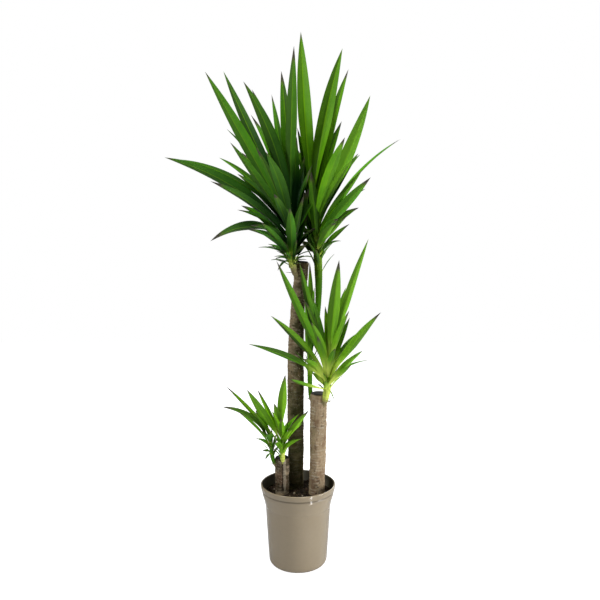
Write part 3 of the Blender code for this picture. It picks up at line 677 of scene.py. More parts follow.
def mottle(where: Wire, scale: Wire) -> dict[str, Wire]:
    """Blotches shared by every finish: a coarse noise, a fine one and their mean."""
    coarse, fine = where.noise(scale, 4.0, 0.55), where.noise(scale * 7.0, 3.0, 0.6)
    return {"Coarse": coarse, "Fine": fine, "Mean": (coarse + fine) * 0.5}


def fibres(where: Wire, scale: Wire) -> dict[str, Wire]:
    """Long fibres for leaves, stems and bark: a fine streaky noise and a broad one, on a drawn-out place."""
    return {"Fibre": where.noise(scale, 4.0, 0.7).span(0.3, 0.7), "Band": where.noise(scale * 0.22, 2.0, 0.5)}


class Effects(NamedTuple):
    """The shared groups."""

    mottle: bpy.types.NodeTree
    fibres: bpy.types.NodeTree


class Paint(Nodes):
    """A material in the making, with the shared groups and the place in its object's own coordinates."""

    def __init__(self, name: str, effects: Effects) -> None:
        """Start the material of the given name."""
        self.material = bpy.data.materials.new(name)
        self.material.use_nodes = True
        super().__init__(self.material.node_tree)
        self.effects = effects
        self.here = self.wire("TexCoord", output="Object")

    def blotches(self, scale: float, where: Wire | None = None) -> tuple[Wire, ...]:
        """The coarse, the fine and the mean blotches."""
        return self.group(self.effects.mottle, where or self.here, scale)

    def strands(self, scale: float, where: Wire) -> tuple[Wire, ...]:
        """The fine and the broad fibres."""
        return self.group(self.effects.fibres, where, scale)

    def finish(self, tint: Value, rough: Value, others: dict[str, Value]) -> bpy.types.Material:
        """Feed the shader its colour, its roughness and the other named inputs, and give the material."""
        shader = self.tree.nodes["Principled BSDF"]
        for name, value in {"Base Color": tint, "Roughness": rough, **others}.items():
            self.feed(shader.inputs[name], value)
        return self.material


def dimmed(colour: Colour, share: float) -> Colour:
    """A colour made darker or lighter by a factor."""
    return tuple(share * part for part in colour)


@dataclass(frozen=True)
class PotPlastic:
    """Glossy moulded plastic, taupe outside and painted near black inside as shade, with faint scuffs and soil
    dust, a painted highlight on the lip and a painted shadow in the line under the band.
    """

    outside: Colour = (0.262, 0.210, 0.136)
    inside: Colour = (0.118, 0.110, 0.080)
    dust: Colour = (0.16, 0.12, 0.085)
    roughness: float = 0.16
    dusty_top: tuple[float, float] = (0.185, 0.214)
    dusty_foot: float = 0.014

    def make(self, effects: Effects) -> bpy.types.Material:
        """The material."""
        paint = Paint("pot_plastic", effects)
        coarse, _, mean = paint.blotches(14.0)
        up, inner = paint.here.split()[2], paint.value("inner")
        smear = up.span(*self.dusty_top) * coarse.span(0.56, 0.72) * 0.30
        tint = mean.ramp((0.30, dimmed(self.outside, 0.97)), (0.70, dimmed(self.outside, 1.03)))
        tint = tint.into(self.dust, smear).into(self.dust, up.span(self.dusty_foot, 0.0) * 0.35)
        # Painted highlight on the lip, painted shadow in the line under the band, and painted shade over the
        # inside.
        tint = tint.scaled(paint.value("edge").span(-1.0, 1.0, 0.50, 1.50)).into(self.inside, inner)
        scuff = paint.here.stretched((30.0, 30.0, 260.0)).noise(1.0, 3.0, 0.6)
        rough = scuff.span(0.60, 0.75, self.roughness, self.roughness + 0.06) + smear * 1.2 + inner * 0.3
        peel = paint.here.noise(700.0, 1.0, 0.5).bump(0.03, 0.0004)
        return paint.finish(tint, rough, {
            "Normal": coarse.bump(0.025, 0.0020, peel), "IOR": 1.5,
            "Coat Weight": 0.40, "Coat Roughness": 0.08})


@dataclass(frozen=True)
class Soil:
    """Moist potting soil: near black, with brown fibres and a few pale grains."""

    dark: Colour = (0.006, 0.004, 0.002)
    brown: Colour = (0.042, 0.027, 0.013)
    pale: Colour = (0.22, 0.17, 0.12)

    def make(self, effects: Effects) -> bpy.types.Material:
        """The material."""
        paint = Paint("soil", effects)
        _, fine, mean = paint.blotches(70.0)
        grain = paint.here.noise(420.0, 2.0, 0.6)
        tint = mean.ramp((0.36, self.dark), (0.62, self.brown)).into(self.pale, grain.span(0.70, 0.76))
        return paint.finish(tint, fine.span(0.3, 0.7, 0.72, 1.0), {
            "Normal": grain.bump(0.6, 0.001, mean.bump(0.9, 0.004)), SPECULAR: MATTE})


@dataclass(frozen=True)
class Crumb:
    """Loose crumbs of bark and soil on the surface, each darker or paler."""

    dark: Colour = (0.014, 0.010, 0.007)
    brown: Colour = (0.09, 0.055, 0.034)
    pale: Colour = (0.42, 0.35, 0.26)

    def make(self, effects: Effects) -> bpy.types.Material:
        """The material."""
        paint = Paint("soil_crumbs", effects)
        _, fine, mean = paint.blotches(160.0)
        stops = (0.0, self.dark), (0.72, self.brown), (0.93, self.brown), (0.97, self.pale)
        tint = paint.value("tone").ramp(*stops).scaled(mean.span(0.3, 0.7, 0.55, 1.25))
        return paint.finish(tint, fine.span(0.3, 0.7, 0.75, 1.0), {
            "Normal": fine.bump(0.7, 0.001), SPECULAR: MATTE})


@dataclass(frozen=True)
class Bark:
    """Rough grey-brown bark with dark cracks, ring scars, rusty patches, a touch of moss and pale flecks, and
    painted light and shade on its sides.
    """

    crack: Colour = (0.018, 0.012, 0.006)
    brown: Colour = (0.064, 0.046, 0.024)
    grey: Colour = (0.235, 0.190, 0.128)
    fleck: Colour = (0.60, 0.52, 0.40)
    tan: Colour = (0.42, 0.315, 0.195)
    rust: Colour = (0.170, 0.088, 0.050)
    moss: Colour = (0.060, 0.062, 0.014)

    def make(self, effects: Effects) -> bpy.types.Material:
        """The material."""
        paint = Paint("bark", effects)
        here = paint.here
        _, fine, mean = paint.blotches(40.0, here.stretched((1.0, 1.0, 2.6)))
        fibre, broad = paint.strands(420.0, here.stretched((1.0, 1.0, 0.25)))
        patch = here.stretched((1.0, 1.0, 1.8)).noise(34.0, 3.0, 0.55) * 1.8 - 0.90
        # light is each cane's lightness, partly its own tone and partly painted light and shade, lighter on its
        # left side and darker on its right.
        shade = paint.value("light") * 0.36 + (mean - 0.16) + patch
        tint = shade.ramp((0.34, self.brown), (0.54, self.grey), (0.74, self.tan))
        rust = here.stretched((1.0, 1.0, 0.6), (0.3, 0.1, 0.2)).noise(55.0, 3.0, 0.6)
        chip = here.stretched((1.0, 1.0, 1.6)).noise(230.0, 2.0, 0.55).span(0.56, 0.68)
        chip = chip * broad.span(0.44, 0.60)
        tint = tint.into(self.brown, fibre * 0.40).into(self.rust, rust.span(0.46, 0.66, 0.0, 0.60))
        tint = tint.into(self.fleck, paint.value("band") * shade.span(0.3, 0.7, 0.22, 1.0))
        tint = tint.into(self.fleck, chip * 0.88).into(self.fleck, paint.value("pale"))
        tint = tint.into(self.moss, paint.value("moss"))
        tint = tint.into(self.crack, paint.value("relief").span(0.40, 0.08) * 0.78)
        return paint.finish(tint, fine.span(0.3, 0.7, 0.78, 0.98), {
            "Normal": fibre.bump(0.7, 0.0008, fine.bump(0.8, 0.0015)), SPECULAR: MATTE})


@dataclass(frozen=True)
class Wax:
    """The dark seal brushed on a cut top."""

    dark: Colour = (0.007, 0.006, 0.005)
    worn: Colour = (0.034, 0.026, 0.020)

    def make(self, effects: Effects) -> bpy.types.Material:
        """The material."""
        paint = Paint("cut_wax", effects)
        _, fine, mean = paint.blotches(60.0)
        return paint.finish(mean.ramp((0.4, self.dark), (0.68, self.worn)), fine.span(0.3, 0.7, 0.5, 0.8), {
            "Normal": mean.bump(0.6, 0.0015), SPECULAR: 0.22})


@dataclass(frozen=True)
class LeafSkin:
    """A leaf: pale foot, green blade with parallel veins, pale margins, matte underside, dry tip."""

    foot: Colour = (0.76, 0.90, 0.16)
    old: Colour = (0.006, 0.074, 0.003)
    ripe: Colour = (0.050, 0.205, 0.003)
    young: Colour = (0.185, 0.430, 0.006)
    yellow: Colour = (0.20, 0.19, 0.04)
    dry: Colour = (0.070, 0.058, 0.050)
    shade_green: Colour = (0.0008, 0.018, 0.001)
    straw: Colour = (0.25, 0.20, 0.11)
    bloom: Colour = (0.110, 0.250, 0.040)
    veins: float = 17.0

    def blade(self, paint: Paint, fibre: Wire, broad: Wire, vein: Wire) -> Wire:
        """The blade's green by its age, painted light on one half and painted shade on the other, its veins,
        its rib and its margins, with painted shade at the foot of old leaves and in the hollow between the
        crowns.

        Args:
            paint: the material in the making.
            fibre: fine fibres.
            broad: broad fibres.
            vein: 1 on a vein and 0 between two.

        Returns:
            The colour.
        """
        across, along, _ = paint.wire("TexCoord", output="UV").split()
        middle = (across - 0.5).math("ABSOLUTE")
        youth = paint.value("youth")
        age = paint.blotches(22.0)[0] * 0.5 + (youth - 0.25) + (broad * 0.30 - 0.15)
        # Painted light and shade: one half of the blade is lighter and the other darker, by the leaf's lit
        # value.
        lit = across.span(0.46, 0.54, -1.0, 1.0) * paint.value("lit") * 0.50 + paint.value("bright")
        tint = age.ramp((0.0, self.old), (0.42, self.ripe), (1.0, self.young)).scaled(lit)
        tint = tint.into(self.bloom, along.span(0.30, 1.0, 0.0, 0.26))
        for share in (vein * fibre * 0.28, middle.span(0.050, 0.01) * 0.72, middle.span(0.470, 0.5) * 0.40):
            tint = tint.into(self.young, share)
        tint = tint.into(self.bloom, paint.value("upper").span(0.45, 0.0) * 0.22)
        # Painted shade: the foot of an old leaf and the hollow between the tall crowns turn near black.
        painted_shade = along.span(0.90, 0.15) * youth.span(0.55, 0.05, 0.0, 0.95)
        return tint.into(self.shade_green, painted_shade.math("MAXIMUM", paint.value("hollow")))

    def make(self, effects: Effects) -> bpy.types.Material:
        """The material: the blade between a pale foot and a dry tip, or papery all over on a bract."""
        paint = Paint("leaf", effects)
        plate, tone = paint.wire("TexCoord", output="UV"), paint.value("tone")
        shift = paint.wire("CombineXYZ", {0: tone * 37.0, 1: tone * 11.0})
        fibre, broad = paint.strands(42.0, plate.stretched((1.0, 0.035, 1.0), shift))
        vein = (plate.split()[0] * (math.tau * self.veins)).math("SINE") * 0.5 + 0.5
        near = paint.value("base") / paint.value("fresh")
        end = fibre * 0.010 + paint.value("tip") - paint.value("withered")
        papery, under = paint.value("papery"), paint.value("upper").span(0.45, 0.0)
        tint = self.blade(paint, fibre, broad, vein)
        tint = tint.into(self.young, near.span(1.3, 0.3) * 0.75).into(self.foot, near.span(0.90, 0.15) * 0.90)
        tint = tint.into(self.yellow, end.span(0.020, 0.006) * 0.35)
        tint = tint.into(self.dry, end.span(0.016, 0.0) * 0.92)
        tint = tint.into(paint.mix(paint.blotches(22.0)[1], self.straw, self.dry), papery)
        rough = under * 0.15 + fibre.span(0.2, 0.8, 0.38, 0.48) + papery * 0.3
        normal = fibre.bump(0.25, 0.0003, vein.bump(0.22, 0.0004))
        return paint.finish(tint, rough, {"Normal": normal, "IOR": SATIN_IOR})


@dataclass(frozen=True)
class StemSkin:
    """A shoot's stem: tan and scarred at the cane, pale yellow-green where the leaves begin, with painted
    shade where it runs up inside a dense crown.
    """

    scar: Colour = (0.050, 0.040, 0.015)
    tan: Colour = (0.26, 0.20, 0.11)
    green: Colour = (0.062, 0.195, 0.004)
    shade_green: Colour = (0.002, 0.020, 0.001)
    cream: Colour = (0.70, 0.82, 0.15)
    lime: Colour = (0.26, 0.45, 0.03)

    def make(self, effects: Effects) -> bpy.types.Material:
        """The material."""
        paint = Paint("stem", effects)
        coarse, fine, _ = paint.blotches(60.0)
        fibre, _ = paint.strands(500.0, paint.here.stretched((1.0, 1.0, 0.25)))
        rise = paint.value("rise") + (coarse * 0.4 - 0.2)
        short = rise.ramp((0.05, self.tan), (0.30, self.cream), (0.85, self.cream), (1.0, self.lime))
        tall = rise.ramp((0.02, self.tan), (0.12, self.green), (0.70, self.green), (1.0, self.lime))
        tint = short.into(tall, paint.value("stalk")).into(self.green, fibre * 0.15)
        tint = tint.into(self.scar, paint.value("relief").span(0.35, 0.05))
        # Painted shade on the part of the stem inside a dense crown.
        tint = tint.into(self.shade_green, paint.value("painted_shade"))
        return paint.finish(tint, fine.span(0.3, 0.7, 0.5, 0.75), {
            "Normal": fibre.bump(0.4, 0.0006), "IOR": SATIN_IOR})


@dataclass(frozen=True)
class Paper:
    """The pale floor under the pot."""

    colour: Colour = (0.82, 0.82, 0.82)
    glow: float = 0.90

    def make(self, effects: Effects) -> bpy.types.Material:
        """The material."""
        paint = Paint("floor", effects)
        tint = paint.blotches(3.0)[2].ramp((0.3, dimmed(self.colour, 0.985)), (0.7, self.colour))
        glow = paint.wire("LightPath", output="Is Camera Ray") * self.glow
        return paint.finish(tint, 0.9, {"Emission Color": (1.0, 1.0, 1.0), "Emission Strength": glow})


def arc(radius: float, height: float, size: float, start: float, end: float, steps: int) -> list:
    """Points (radius, height) on an arc about a centre, from one angle in degrees to another."""
    angle = np.radians(np.linspace(start, end, steps))
    return list(zip(radius + size * np.cos(angle), height + size * np.sin(angle)))


def turned(profile: Array, sides: int, values: dict[str, Array], poles: tuple[float, float]) -> Surface:
    """Turn a profile about the upright axis.

    Each profile point (r, z) becomes a ring at r cos a, r sin a, z, with a running clockwise from above, so
    that a profile which goes outwards and down has its faces outwards.

    Args:
        profile: (radius, height) rows from the axis to the axis.
        sides: points of a ring.
        values: named values, one for each profile point.
        poles: heights on the axis at the start and the end.

    Returns:
        The turned surface.
    """
    angle = -math.tau * np.arange(sides) / sides
    radius, height = profile[:, 0:1], profile[:, 1:2]
    grid = np.stack([radius * np.cos(angle), radius * np.sin(angle), height + 0.0 * angle], axis=-1)
    spread = {name: value[:, None] + 0.0 * angle for name, value in values.items()}
    ends = (np.array([0.0, 0.0, poles[0]]), np.array([0.0, 0.0, poles[1]]))
    return tube(grid, spread, None, ends)


@dataclass
class Pot:
    """The tapered nursery pot: rounded foot, flare with a faint step, banded rim, holes in the floor."""

    height: float = 0.212
    rim_radius: float = 0.095
    band_foot: float = 0.0938
    band: float = 0.0138
    rim_round: float = 0.0028
    lip_round: float = 0.0018
    ledge_round: float = 0.0006
    wall: float = 0.0028
    floor: float = 0.0035
    foot_round: float = 0.016
    floor_round: float = 0.013
    band_head: tuple = (0.0002, 0.0040)          # in from the rim's side, down from its top
    band_toe: tuple = (0.0003, 0.0025)           # out from the band's foot, up from it
    dark_line: tuple = ((0.0016, 0.0), (0.0017, 0.0018))     # in from the wall, down from the band
    sides: int = 160
    drains: int = 6
    drain_radius: float = 0.005
    drain_circle: float = 0.045
    outline: tuple = (
        (0.0160, 0.0745), (0.0860, 0.0788), (0.1530, 0.0828), (0.1560, 0.0830), (0.1572, 0.0834),
        (0.1580, 0.0838), (0.1600, 0.0841), (0.1660, 0.0852), (0.1710, 0.0865), (0.1760, 0.0880),
        (0.1820, 0.0897), (0.1880, 0.0911), (0.1930, 0.0918), (0.1972, 0.0922),
    )

    def wall_radius(self, height: float) -> float:
        """Outside radius of the wall at a height."""
        heights, radii = zip(*self.outline)
        return float(np.interp(height, heights, radii))

    def profile(self) -> tuple[Array, dict[str, Array]]:
        """Run the pot's section from the middle of its inner floor over the rim to the middle of its foot.

        Returns:
            The (radius, height) rows, and named values for each: inner is 1 inside and 0 outside, and edge is
            0.6 on the lip, a painted highlight, and -1 in the line under the band, a painted shadow.
        """
        low = self.height - self.band
        foot_radius = self.wall_radius(0.0)
        corner = foot_radius - self.wall - self.floor_round
        inner = [(corner * share, self.floor) for share in (0.2, 0.4, 0.6, 0.8)]
        inner += arc(corner, self.floor + self.floor_round, self.floor_round, -90.0, -4.0, 8)
        inner += [(radius - self.wall, height) for height, radius in self.outline[1:]]
        lip = self.rim_radius - 1.5 * self.wall
        inner += [(lip, self.height - 2.0 * self.rim_round)]
        bend = self.rim_round / 2
        crown = arc(lip + bend, self.height - bend, bend, 180.0, 90.0, 5)
        side = self.rim_radius - self.lip_round
        crown += arc(side, self.height - self.lip_round, self.lip_round, 90.0, 0.0, 5)
        crown += [(self.rim_radius - self.band_head[0], self.height - self.band_head[1])]
        crown += [(self.band_foot + self.band_toe[0], low + self.band_toe[1])]
        ledge = self.ledge_round
        crown += arc(self.band_foot - ledge, low + ledge, ledge, 0.0, -90.0, 4)
        outer = [(self.wall_radius(low) - inward, low - down) for inward, down in self.dark_line]
        outer += [(radius, height) for height, radius in reversed(self.outline[:-1])]
        outer += arc(foot_radius - self.foot_round, self.foot_round, self.foot_round, -4.0, -90.0, 12)
        outer += [((foot_radius - self.foot_round) * share, 0.0) for share in (0.8, 0.6, 0.4, 0.2)]
        rows = np.array(inner + crown + outer)
        inside = np.concatenate([np.ones(len(inner) + 3), np.zeros(len(crown) - 3 + len(outer))])
        edge = np.zeros(len(rows))
        edge[len(inner) + 4:len(inner) + 9] = 0.6
        edge[len(inner) + len(crown) - 2:len(inner) + len(crown) + 2] = -1.0
        return rows, {"inner": inside, "edge": edge}

    def build(self, look: bpy.types.Material) -> None:
        """Turn the profile and cut the drain holes."""
        rows, values = self.profile()
        surface = turned(rows, self.sides, values, (self.floor, 0.0))
        piece = place("pot_shell", surface, look, ("pot",), 30.0)
        rods = []
        for k in range(self.drains):
            angle = math.tau * k / self.drains
            x, y = self.drain_circle * math.cos(angle), self.drain_circle * math.sin(angle)
            rods.append((x, y, self.drain_radius, -0.01, 2 * self.floor))
        cut_out(piece, rods, 24)


@dataclass
class SoilBed:
    """The soil in the pot, with a lumpy top, a hole for each cane and loose crumbs."""

    pot: Pot
    edge_height: float = 0.1850
    crown_height: float = 0.1895
    lump: float = 0.0026
    lump_cell: float = 0.022
    lump_fade: float = 0.12
    lump_seed: int = 5
    inset: float = 0.00325
    holes_from: float = 0.140
    rings: int = 56
    sides: int = 144
    crumbs: int = 620
    crumb_sizes: tuple = (0.0010, 0.0034)
    crumb_seed: int = 11
    crumb_lift: float = 0.35
    hole_gap: float = 0.0006
    crumb_gap: float = 0.0015

    def top(self, x: Array, y: Array) -> Array:
        """Height of the soil's surface.

        It falls from the crown by the square of the share of the way to the wall, and carries noise in four
        layers, which dies away over the last eighth of the way.

        Args:
            x: places to the right.
            y: places to the back.

        Returns:
            The heights.
        """
        share = np.hypot(x, y) / self.edge
        flat = np.stack([x, y, 0.0 * x], axis=-1)
        lumps = layered_noise(flat, self.lump_cell, self.lump_seed, 4) * self.lump
        lumps = lumps * step_between(1.0 - share, 0.0, self.lump_fade)
        return self.crown_height + (self.edge_height - self.crown_height) * share ** 2 + lumps

    @property
    def edge(self) -> float:
        """Radius of the soil at its upper edge."""
        return self.pot.wall_radius(self.edge_height) - self.inset

    def build(self, look: bpy.types.Material, crumb_look: bpy.types.Material) -> None:
        """Make the soil body, its holes and its crumbs."""
        top = [(self.edge * k / self.rings, 0.0) for k in range(1, self.rings + 1)]
        side = [(radius - self.inset, height) for height, radius in reversed(self.pot.outline)
                if height < self.edge_height]
        floor = self.pot.floor + SEAT_GAP
        foot = self.pot.wall_radius(0.0) - self.inset - self.pot.floor_round
        rows = np.array(top + side + [(foot, floor)])
        surface = turned(rows, self.sides, {}, (self.crown_height, floor))
        count = self.rings * self.sides
        cover = np.append(np.arange(count), len(surface.points) - 2)
        surface.points[cover, 2] = self.top(surface.points[cover, 0], surface.points[cover, 1])
        piece = place("soil_bed", surface, look, ("soil",), 60.0)
        rods = []
        for cane in CANES:
            x, y, radius = cane.foot()
            rods.append((x, y, radius + self.hole_gap, self.holes_from, self.crown_height + 0.05))
        cut_out(piece, rods, 48)
        self.scatter(crumb_look)

    def scatter(self, look: bpy.types.Material) -> None:
        """Lay crumbs on the soil.

        Each crumb is a twenty-faced ball, stretched, turned and pushed in and out at random, and sunk by a
        third of its size.
        """
        draw = np.random.default_rng(self.crumb_seed)
        shape = bmesh.new()
        bmesh.ops.create_icosphere(shape, subdivisions=1, radius=1.0)
        ball = np.array([vertex.co[:] for vertex in shape.verts])
        faces = np.array([[vertex.index for vertex in face.verts] for face in shape.faces])
        shape.free()
        angle = draw.uniform(0.0, math.tau, self.crumbs)
        away = self.edge * np.sqrt(draw.uniform(0.0, 0.95, self.crumbs))
        x, y = away * np.cos(angle), away * np.sin(angle)
        clear = np.ones(self.crumbs, dtype=bool)
        for cane in CANES:
            right, back, radius = cane.foot()
            clear &= np.hypot(x - right, y - back) > radius + self.crumb_gap
        x, y = x[clear], y[clear]
        size = between(self.crumb_sizes, draw.uniform(0.0, 1.0, len(x)) ** 2)
        stretch = draw.uniform(0.55, 1.35, (len(x), 1, 3)) * draw.uniform(0.8, 1.2, (len(x), len(ball), 1))
        axes = np.linalg.qr(draw.normal(size=(len(x), 3, 3)))[0]
        axes = axes * np.sign(np.linalg.det(axes))[:, None, None]
        bodies = np.einsum("nvk,nkj->nvj", ball[None] * stretch * size[:, None, None], axes)
        centre = np.stack([x, y, self.top(x, y) + size * self.crumb_lift], axis=-1)
        points = (bodies + centre[:, None]).reshape(-1, 3)
        starts = (np.arange(len(x)) * len(ball))[:, None, None]
        triangles = (faces[None] + starts).reshape(-1, 3)
        tone = np.repeat(draw.uniform(0.0, 1.0, len(x)), len(ball))
        surface = Surface(points, np.zeros((0, 4), dtype=int), triangles, {"tone": tone})
        place("soil_crumbs", surface, look, (), 20.0)


@dataclass
class BarkedCane:
    """A rough cut cane: ring scars, long cracks and flakes on a stout stem, and wax on its cut top."""

    cane: Cane
    light: float
    painted_side_light: float
    moss: float
    seed: int
    strip: bool = False
    sides: int = 128
    step: float = 0.0020
    pitch: float = 0.0078
    wobble: float = 0.0042
    wobble_cell: tuple = (0.03, 0.03, 0.05)
    scar: float = 0.0007
    scar_width: float = 0.0012
    scar_cell: tuple = (0.016, 0.016, 0.006)
    shelf: float = 0.00035
    streak_cell: tuple = (0.012, 0.012, 0.004)
    crack: float = 0.0006
    crack_width: float = 0.34
    crack_cell: tuple = (0.0075, 0.0075, 0.034)
    flake: float = 0.0006
    flake_cell: tuple = (0.010, 0.010, 0.013)
    grain: float = 0.00055
    grain_cell: float = 0.0042
    relief_range: float = 0.0034
    soil_fade: float = 0.008
    top_fade: float = 0.004
    top_wear: float = 0.0012
    wave: float = 0.022
    groove: float = 0.0016
    groove_width: float = 0.0022
    strip_place: float = 0.0055
    strip_width: float = 0.0045
    strip_blur: float = 0.0012
    strip_pale: float = 0.38
    groove_angle: float = math.radians(94.0)
    lean_angle: float = math.radians(9.0)
    seal_height: float = 0.0018
    seal_grain: float = 0.0003
    seal_cell: float = 0.006
    seal_sides: int = 72

    def relief(self, line: Array, angle: Array, out: Array, size: Array) -> tuple[Array, Array]:
        """Height of the bark over the plain stem.

        Ring scars are bell-shaped grooves at every whole number of (height + wobble) / pitch, with a shelf
        that slopes from each to the next.  Cracks are where a noise stretched along the stem is near nought.
        Flakes are plateaus where another noise is high.  Fine noise covers all.

        Args:
            line: places of the axis.
            angle: angle of each side.
            out: direction of each side at each place.
            size: radius at each place.

        Returns:
            Heights in metres on the grid, and the pale bands over the scars from 0 to 1.
        """
        up = line[:, 2:3] + 0.0 * angle
        skin = line[:, None] + out * size[:, None, None]
        wobble = layered_noise(skin, self.wobble_cell, self.seed, 2) * self.wobble
        turn = (up + wobble) / self.pitch
        near = np.abs(turn - np.round(turn)) * self.pitch
        depth = np.clip(0.55 + 0.75 * value_noise(skin, self.scar_cell, self.seed + 3), 0.0, 1.2)
        height = -self.scar * np.exp(-(near / self.scar_width) ** 2) * depth
        above = turn - np.floor(turn)
        height = height + self.shelf * (0.5 - above) * depth
        streak = value_noise(skin, self.streak_cell, self.seed + 21)
        band = np.exp(-((above - 0.30) / 0.17) ** 2) * np.clip(0.10 + 1.1 * streak, 0.0, 1.0)
        strand = layered_noise(skin, self.crack_cell, self.seed + 5, 2)
        height = height - self.crack * np.clip(1.0 - np.abs(strand) / self.crack_width, 0.0, 1.0) ** 1.5
        plate = layered_noise(skin, self.flake_cell, self.seed + 9, 3)
        height = height + self.flake * step_between(plate, 0.05, 0.22)
        height = height + self.grain * layered_noise(skin, self.grain_cell, self.seed + 15, 2)
        return height, band

    def build(self, look: bpy.types.Material) -> None:
        """Make the stem with its bark."""
        knots = np.array(self.cane.line) * CM
        above = smooth_line(knots, self.step)
        butt = np.array([[knots[0, 0], knots[0, 1], z] for z in np.linspace(CANE_BUTT, knots[0, 2], 9)[:-1]])
        line = np.vstack([butt, above])
        size = np.interp(line[:, 2], knots[:, 2], self.cane.radii) * MM
        grown = np.clip((line[:, 2] - knots[0, 2]) / BUTT_FADE, 0.0, 1.0)
        size = size * (BUTT_SWELL + (1.0 - BUTT_SWELL) * grown)
        _, angle, out = rings_along(line, size, self.sides)
        shown = np.clip((line[:, 2] - knots[0, 2] + self.soil_fade / 2) / self.soil_fade, 0.0, 1.0)[:, None]
        relief, band = self.relief(line, angle, out, size)
        relief = relief * shown
        pale = np.zeros_like(relief)
        if self.strip:
            bend = np.angle(np.exp(1j * (angle - self.groove_angle)))[None, :] * size[:, None]
            rise = (line[:, 2:3] - knots[0, 2]) / (knots[-1, 2] - knots[0, 2])
            inner = np.exp(-(bend / self.groove_width) ** 2) * step_between(rise, 0.05, 0.2)
            relief = relief - self.groove * inner
            reach = self.strip_width * step_between(rise, 0.0, 0.3) - np.abs(bend - self.strip_place)
            pale = self.strip_pale * step_between(reach, 0.0, self.strip_blur)
            pale = pale * step_between(rise, 0.04, 0.12)
        top = np.clip((knots[-1, 2] - line[:, 2]) / self.top_fade, 0.0, 1.0)[:, None]
        relief = relief * (0.3 + 0.7 * top) - self.top_wear * (1.0 - top) ** 2
        up = line[:, 2:3]
        wave = np.sin(3 * angle + 37.0 * up) + 0.7 * np.sin(5 * angle - 71.0 * up)
        radii = size[:, None] * (1.0 + self.wave * wave * shown * top) + relief
        grid, _, _ = rings_along(line, radii, self.sides)
        # Painted light and shade: above the lower part of a cane its left side is lighter and the rest darker;
        # moss thins on the left.
        side = (np.cos(angle - self.lean_angle) - 0.55) * step_between(up, 0.25, 0.50)
        moss = self.moss * (1.0 - 0.8 * np.clip(side, 0, 1)) * (1.0 - 0.45 * step_between(up, 0.36, 0.52))
        values = {
            "relief": 0.5 + relief / self.relief_range,
            "light": self.light + self.painted_side_light * side,
            "band": band,
            "pale": pale,
            "moss": moss,
        }
        place(self.cane.name + "_bark", tube(grid, values), look, (self.cane.name,), 60.0)

    def seal(self, look: bpy.types.Material) -> None:
        """Make the wax on the cut: a low dome with a wavy rim and a brushed, uneven top."""
        foot, head = np.array(self.cane.line[-2:]) * CM
        way = unit(head - foot)
        share = np.array([0.84, 0.87, 0.885, 0.87, 0.82, 0.70, 0.55, 0.40, 0.26, 0.12])
        lift = np.array([0.0, 0.2, 0.5, 0.78, 0.95, 1.0, 0.97, 0.93, 0.92, 0.95]) * self.seal_height
        line = head + way * SEAT_GAP + way * lift[:, None]
        angle = math.tau * np.arange(self.seal_sides) / self.seal_sides
        rim = 1.0 + 0.02 * np.sin(3 * angle + self.seed) + 0.012 * np.sin(7 * angle + 2 * self.seed)
        left, front = ring_axes(way)
        out = left * np.cos(angle)[:, None] + front * np.sin(angle)[:, None]
        radius = self.cane.radii[-1] * MM * share[:, None] * rim
        grid = line[:, None] + out[None] * radius[..., None]
        brushed = self.seal_grain * layered_noise(grid, self.seal_cell, self.seed, 2) * (lift[:, None] > MM)
        grid = grid + way * brushed[..., None]
        name = self.cane.name.replace("cane", "wax_seal")
        place(name + "_skin", tube(grid), look, (name,), 50.0)


class Habit(Enum):
    """How a crown grows: youth of its leaves, from dark and old, 0, to bright and new, 1, how much of a leaf
    may be pale, and a factor on the brightness of its blades, partly their own tone and partly painted
    light that lifts the fresh crown out of the shade of the others."""

    OLD = (0.18, 0.28, 1.16)
    RIPE = (0.56, 0.28, 1.34)
    FRESH = (0.82, 0.34, 1.90)
    SOFT = (0.60, 0.95, 1.12)

    def __init__(self, youth: float, pale: float, bright: float) -> None:
        """Keep the three numbers."""
        self.youth, self.pale, self.bright = youth, pale, bright


def rolled(side: Array, normal: Array, angle: Array) -> tuple[Array, Array]:
    """Two directions at right angles, turned in their own plane by an angle in radians."""
    return side * np.cos(angle) + normal * np.sin(angle), normal * np.cos(angle) - side * np.sin(angle)


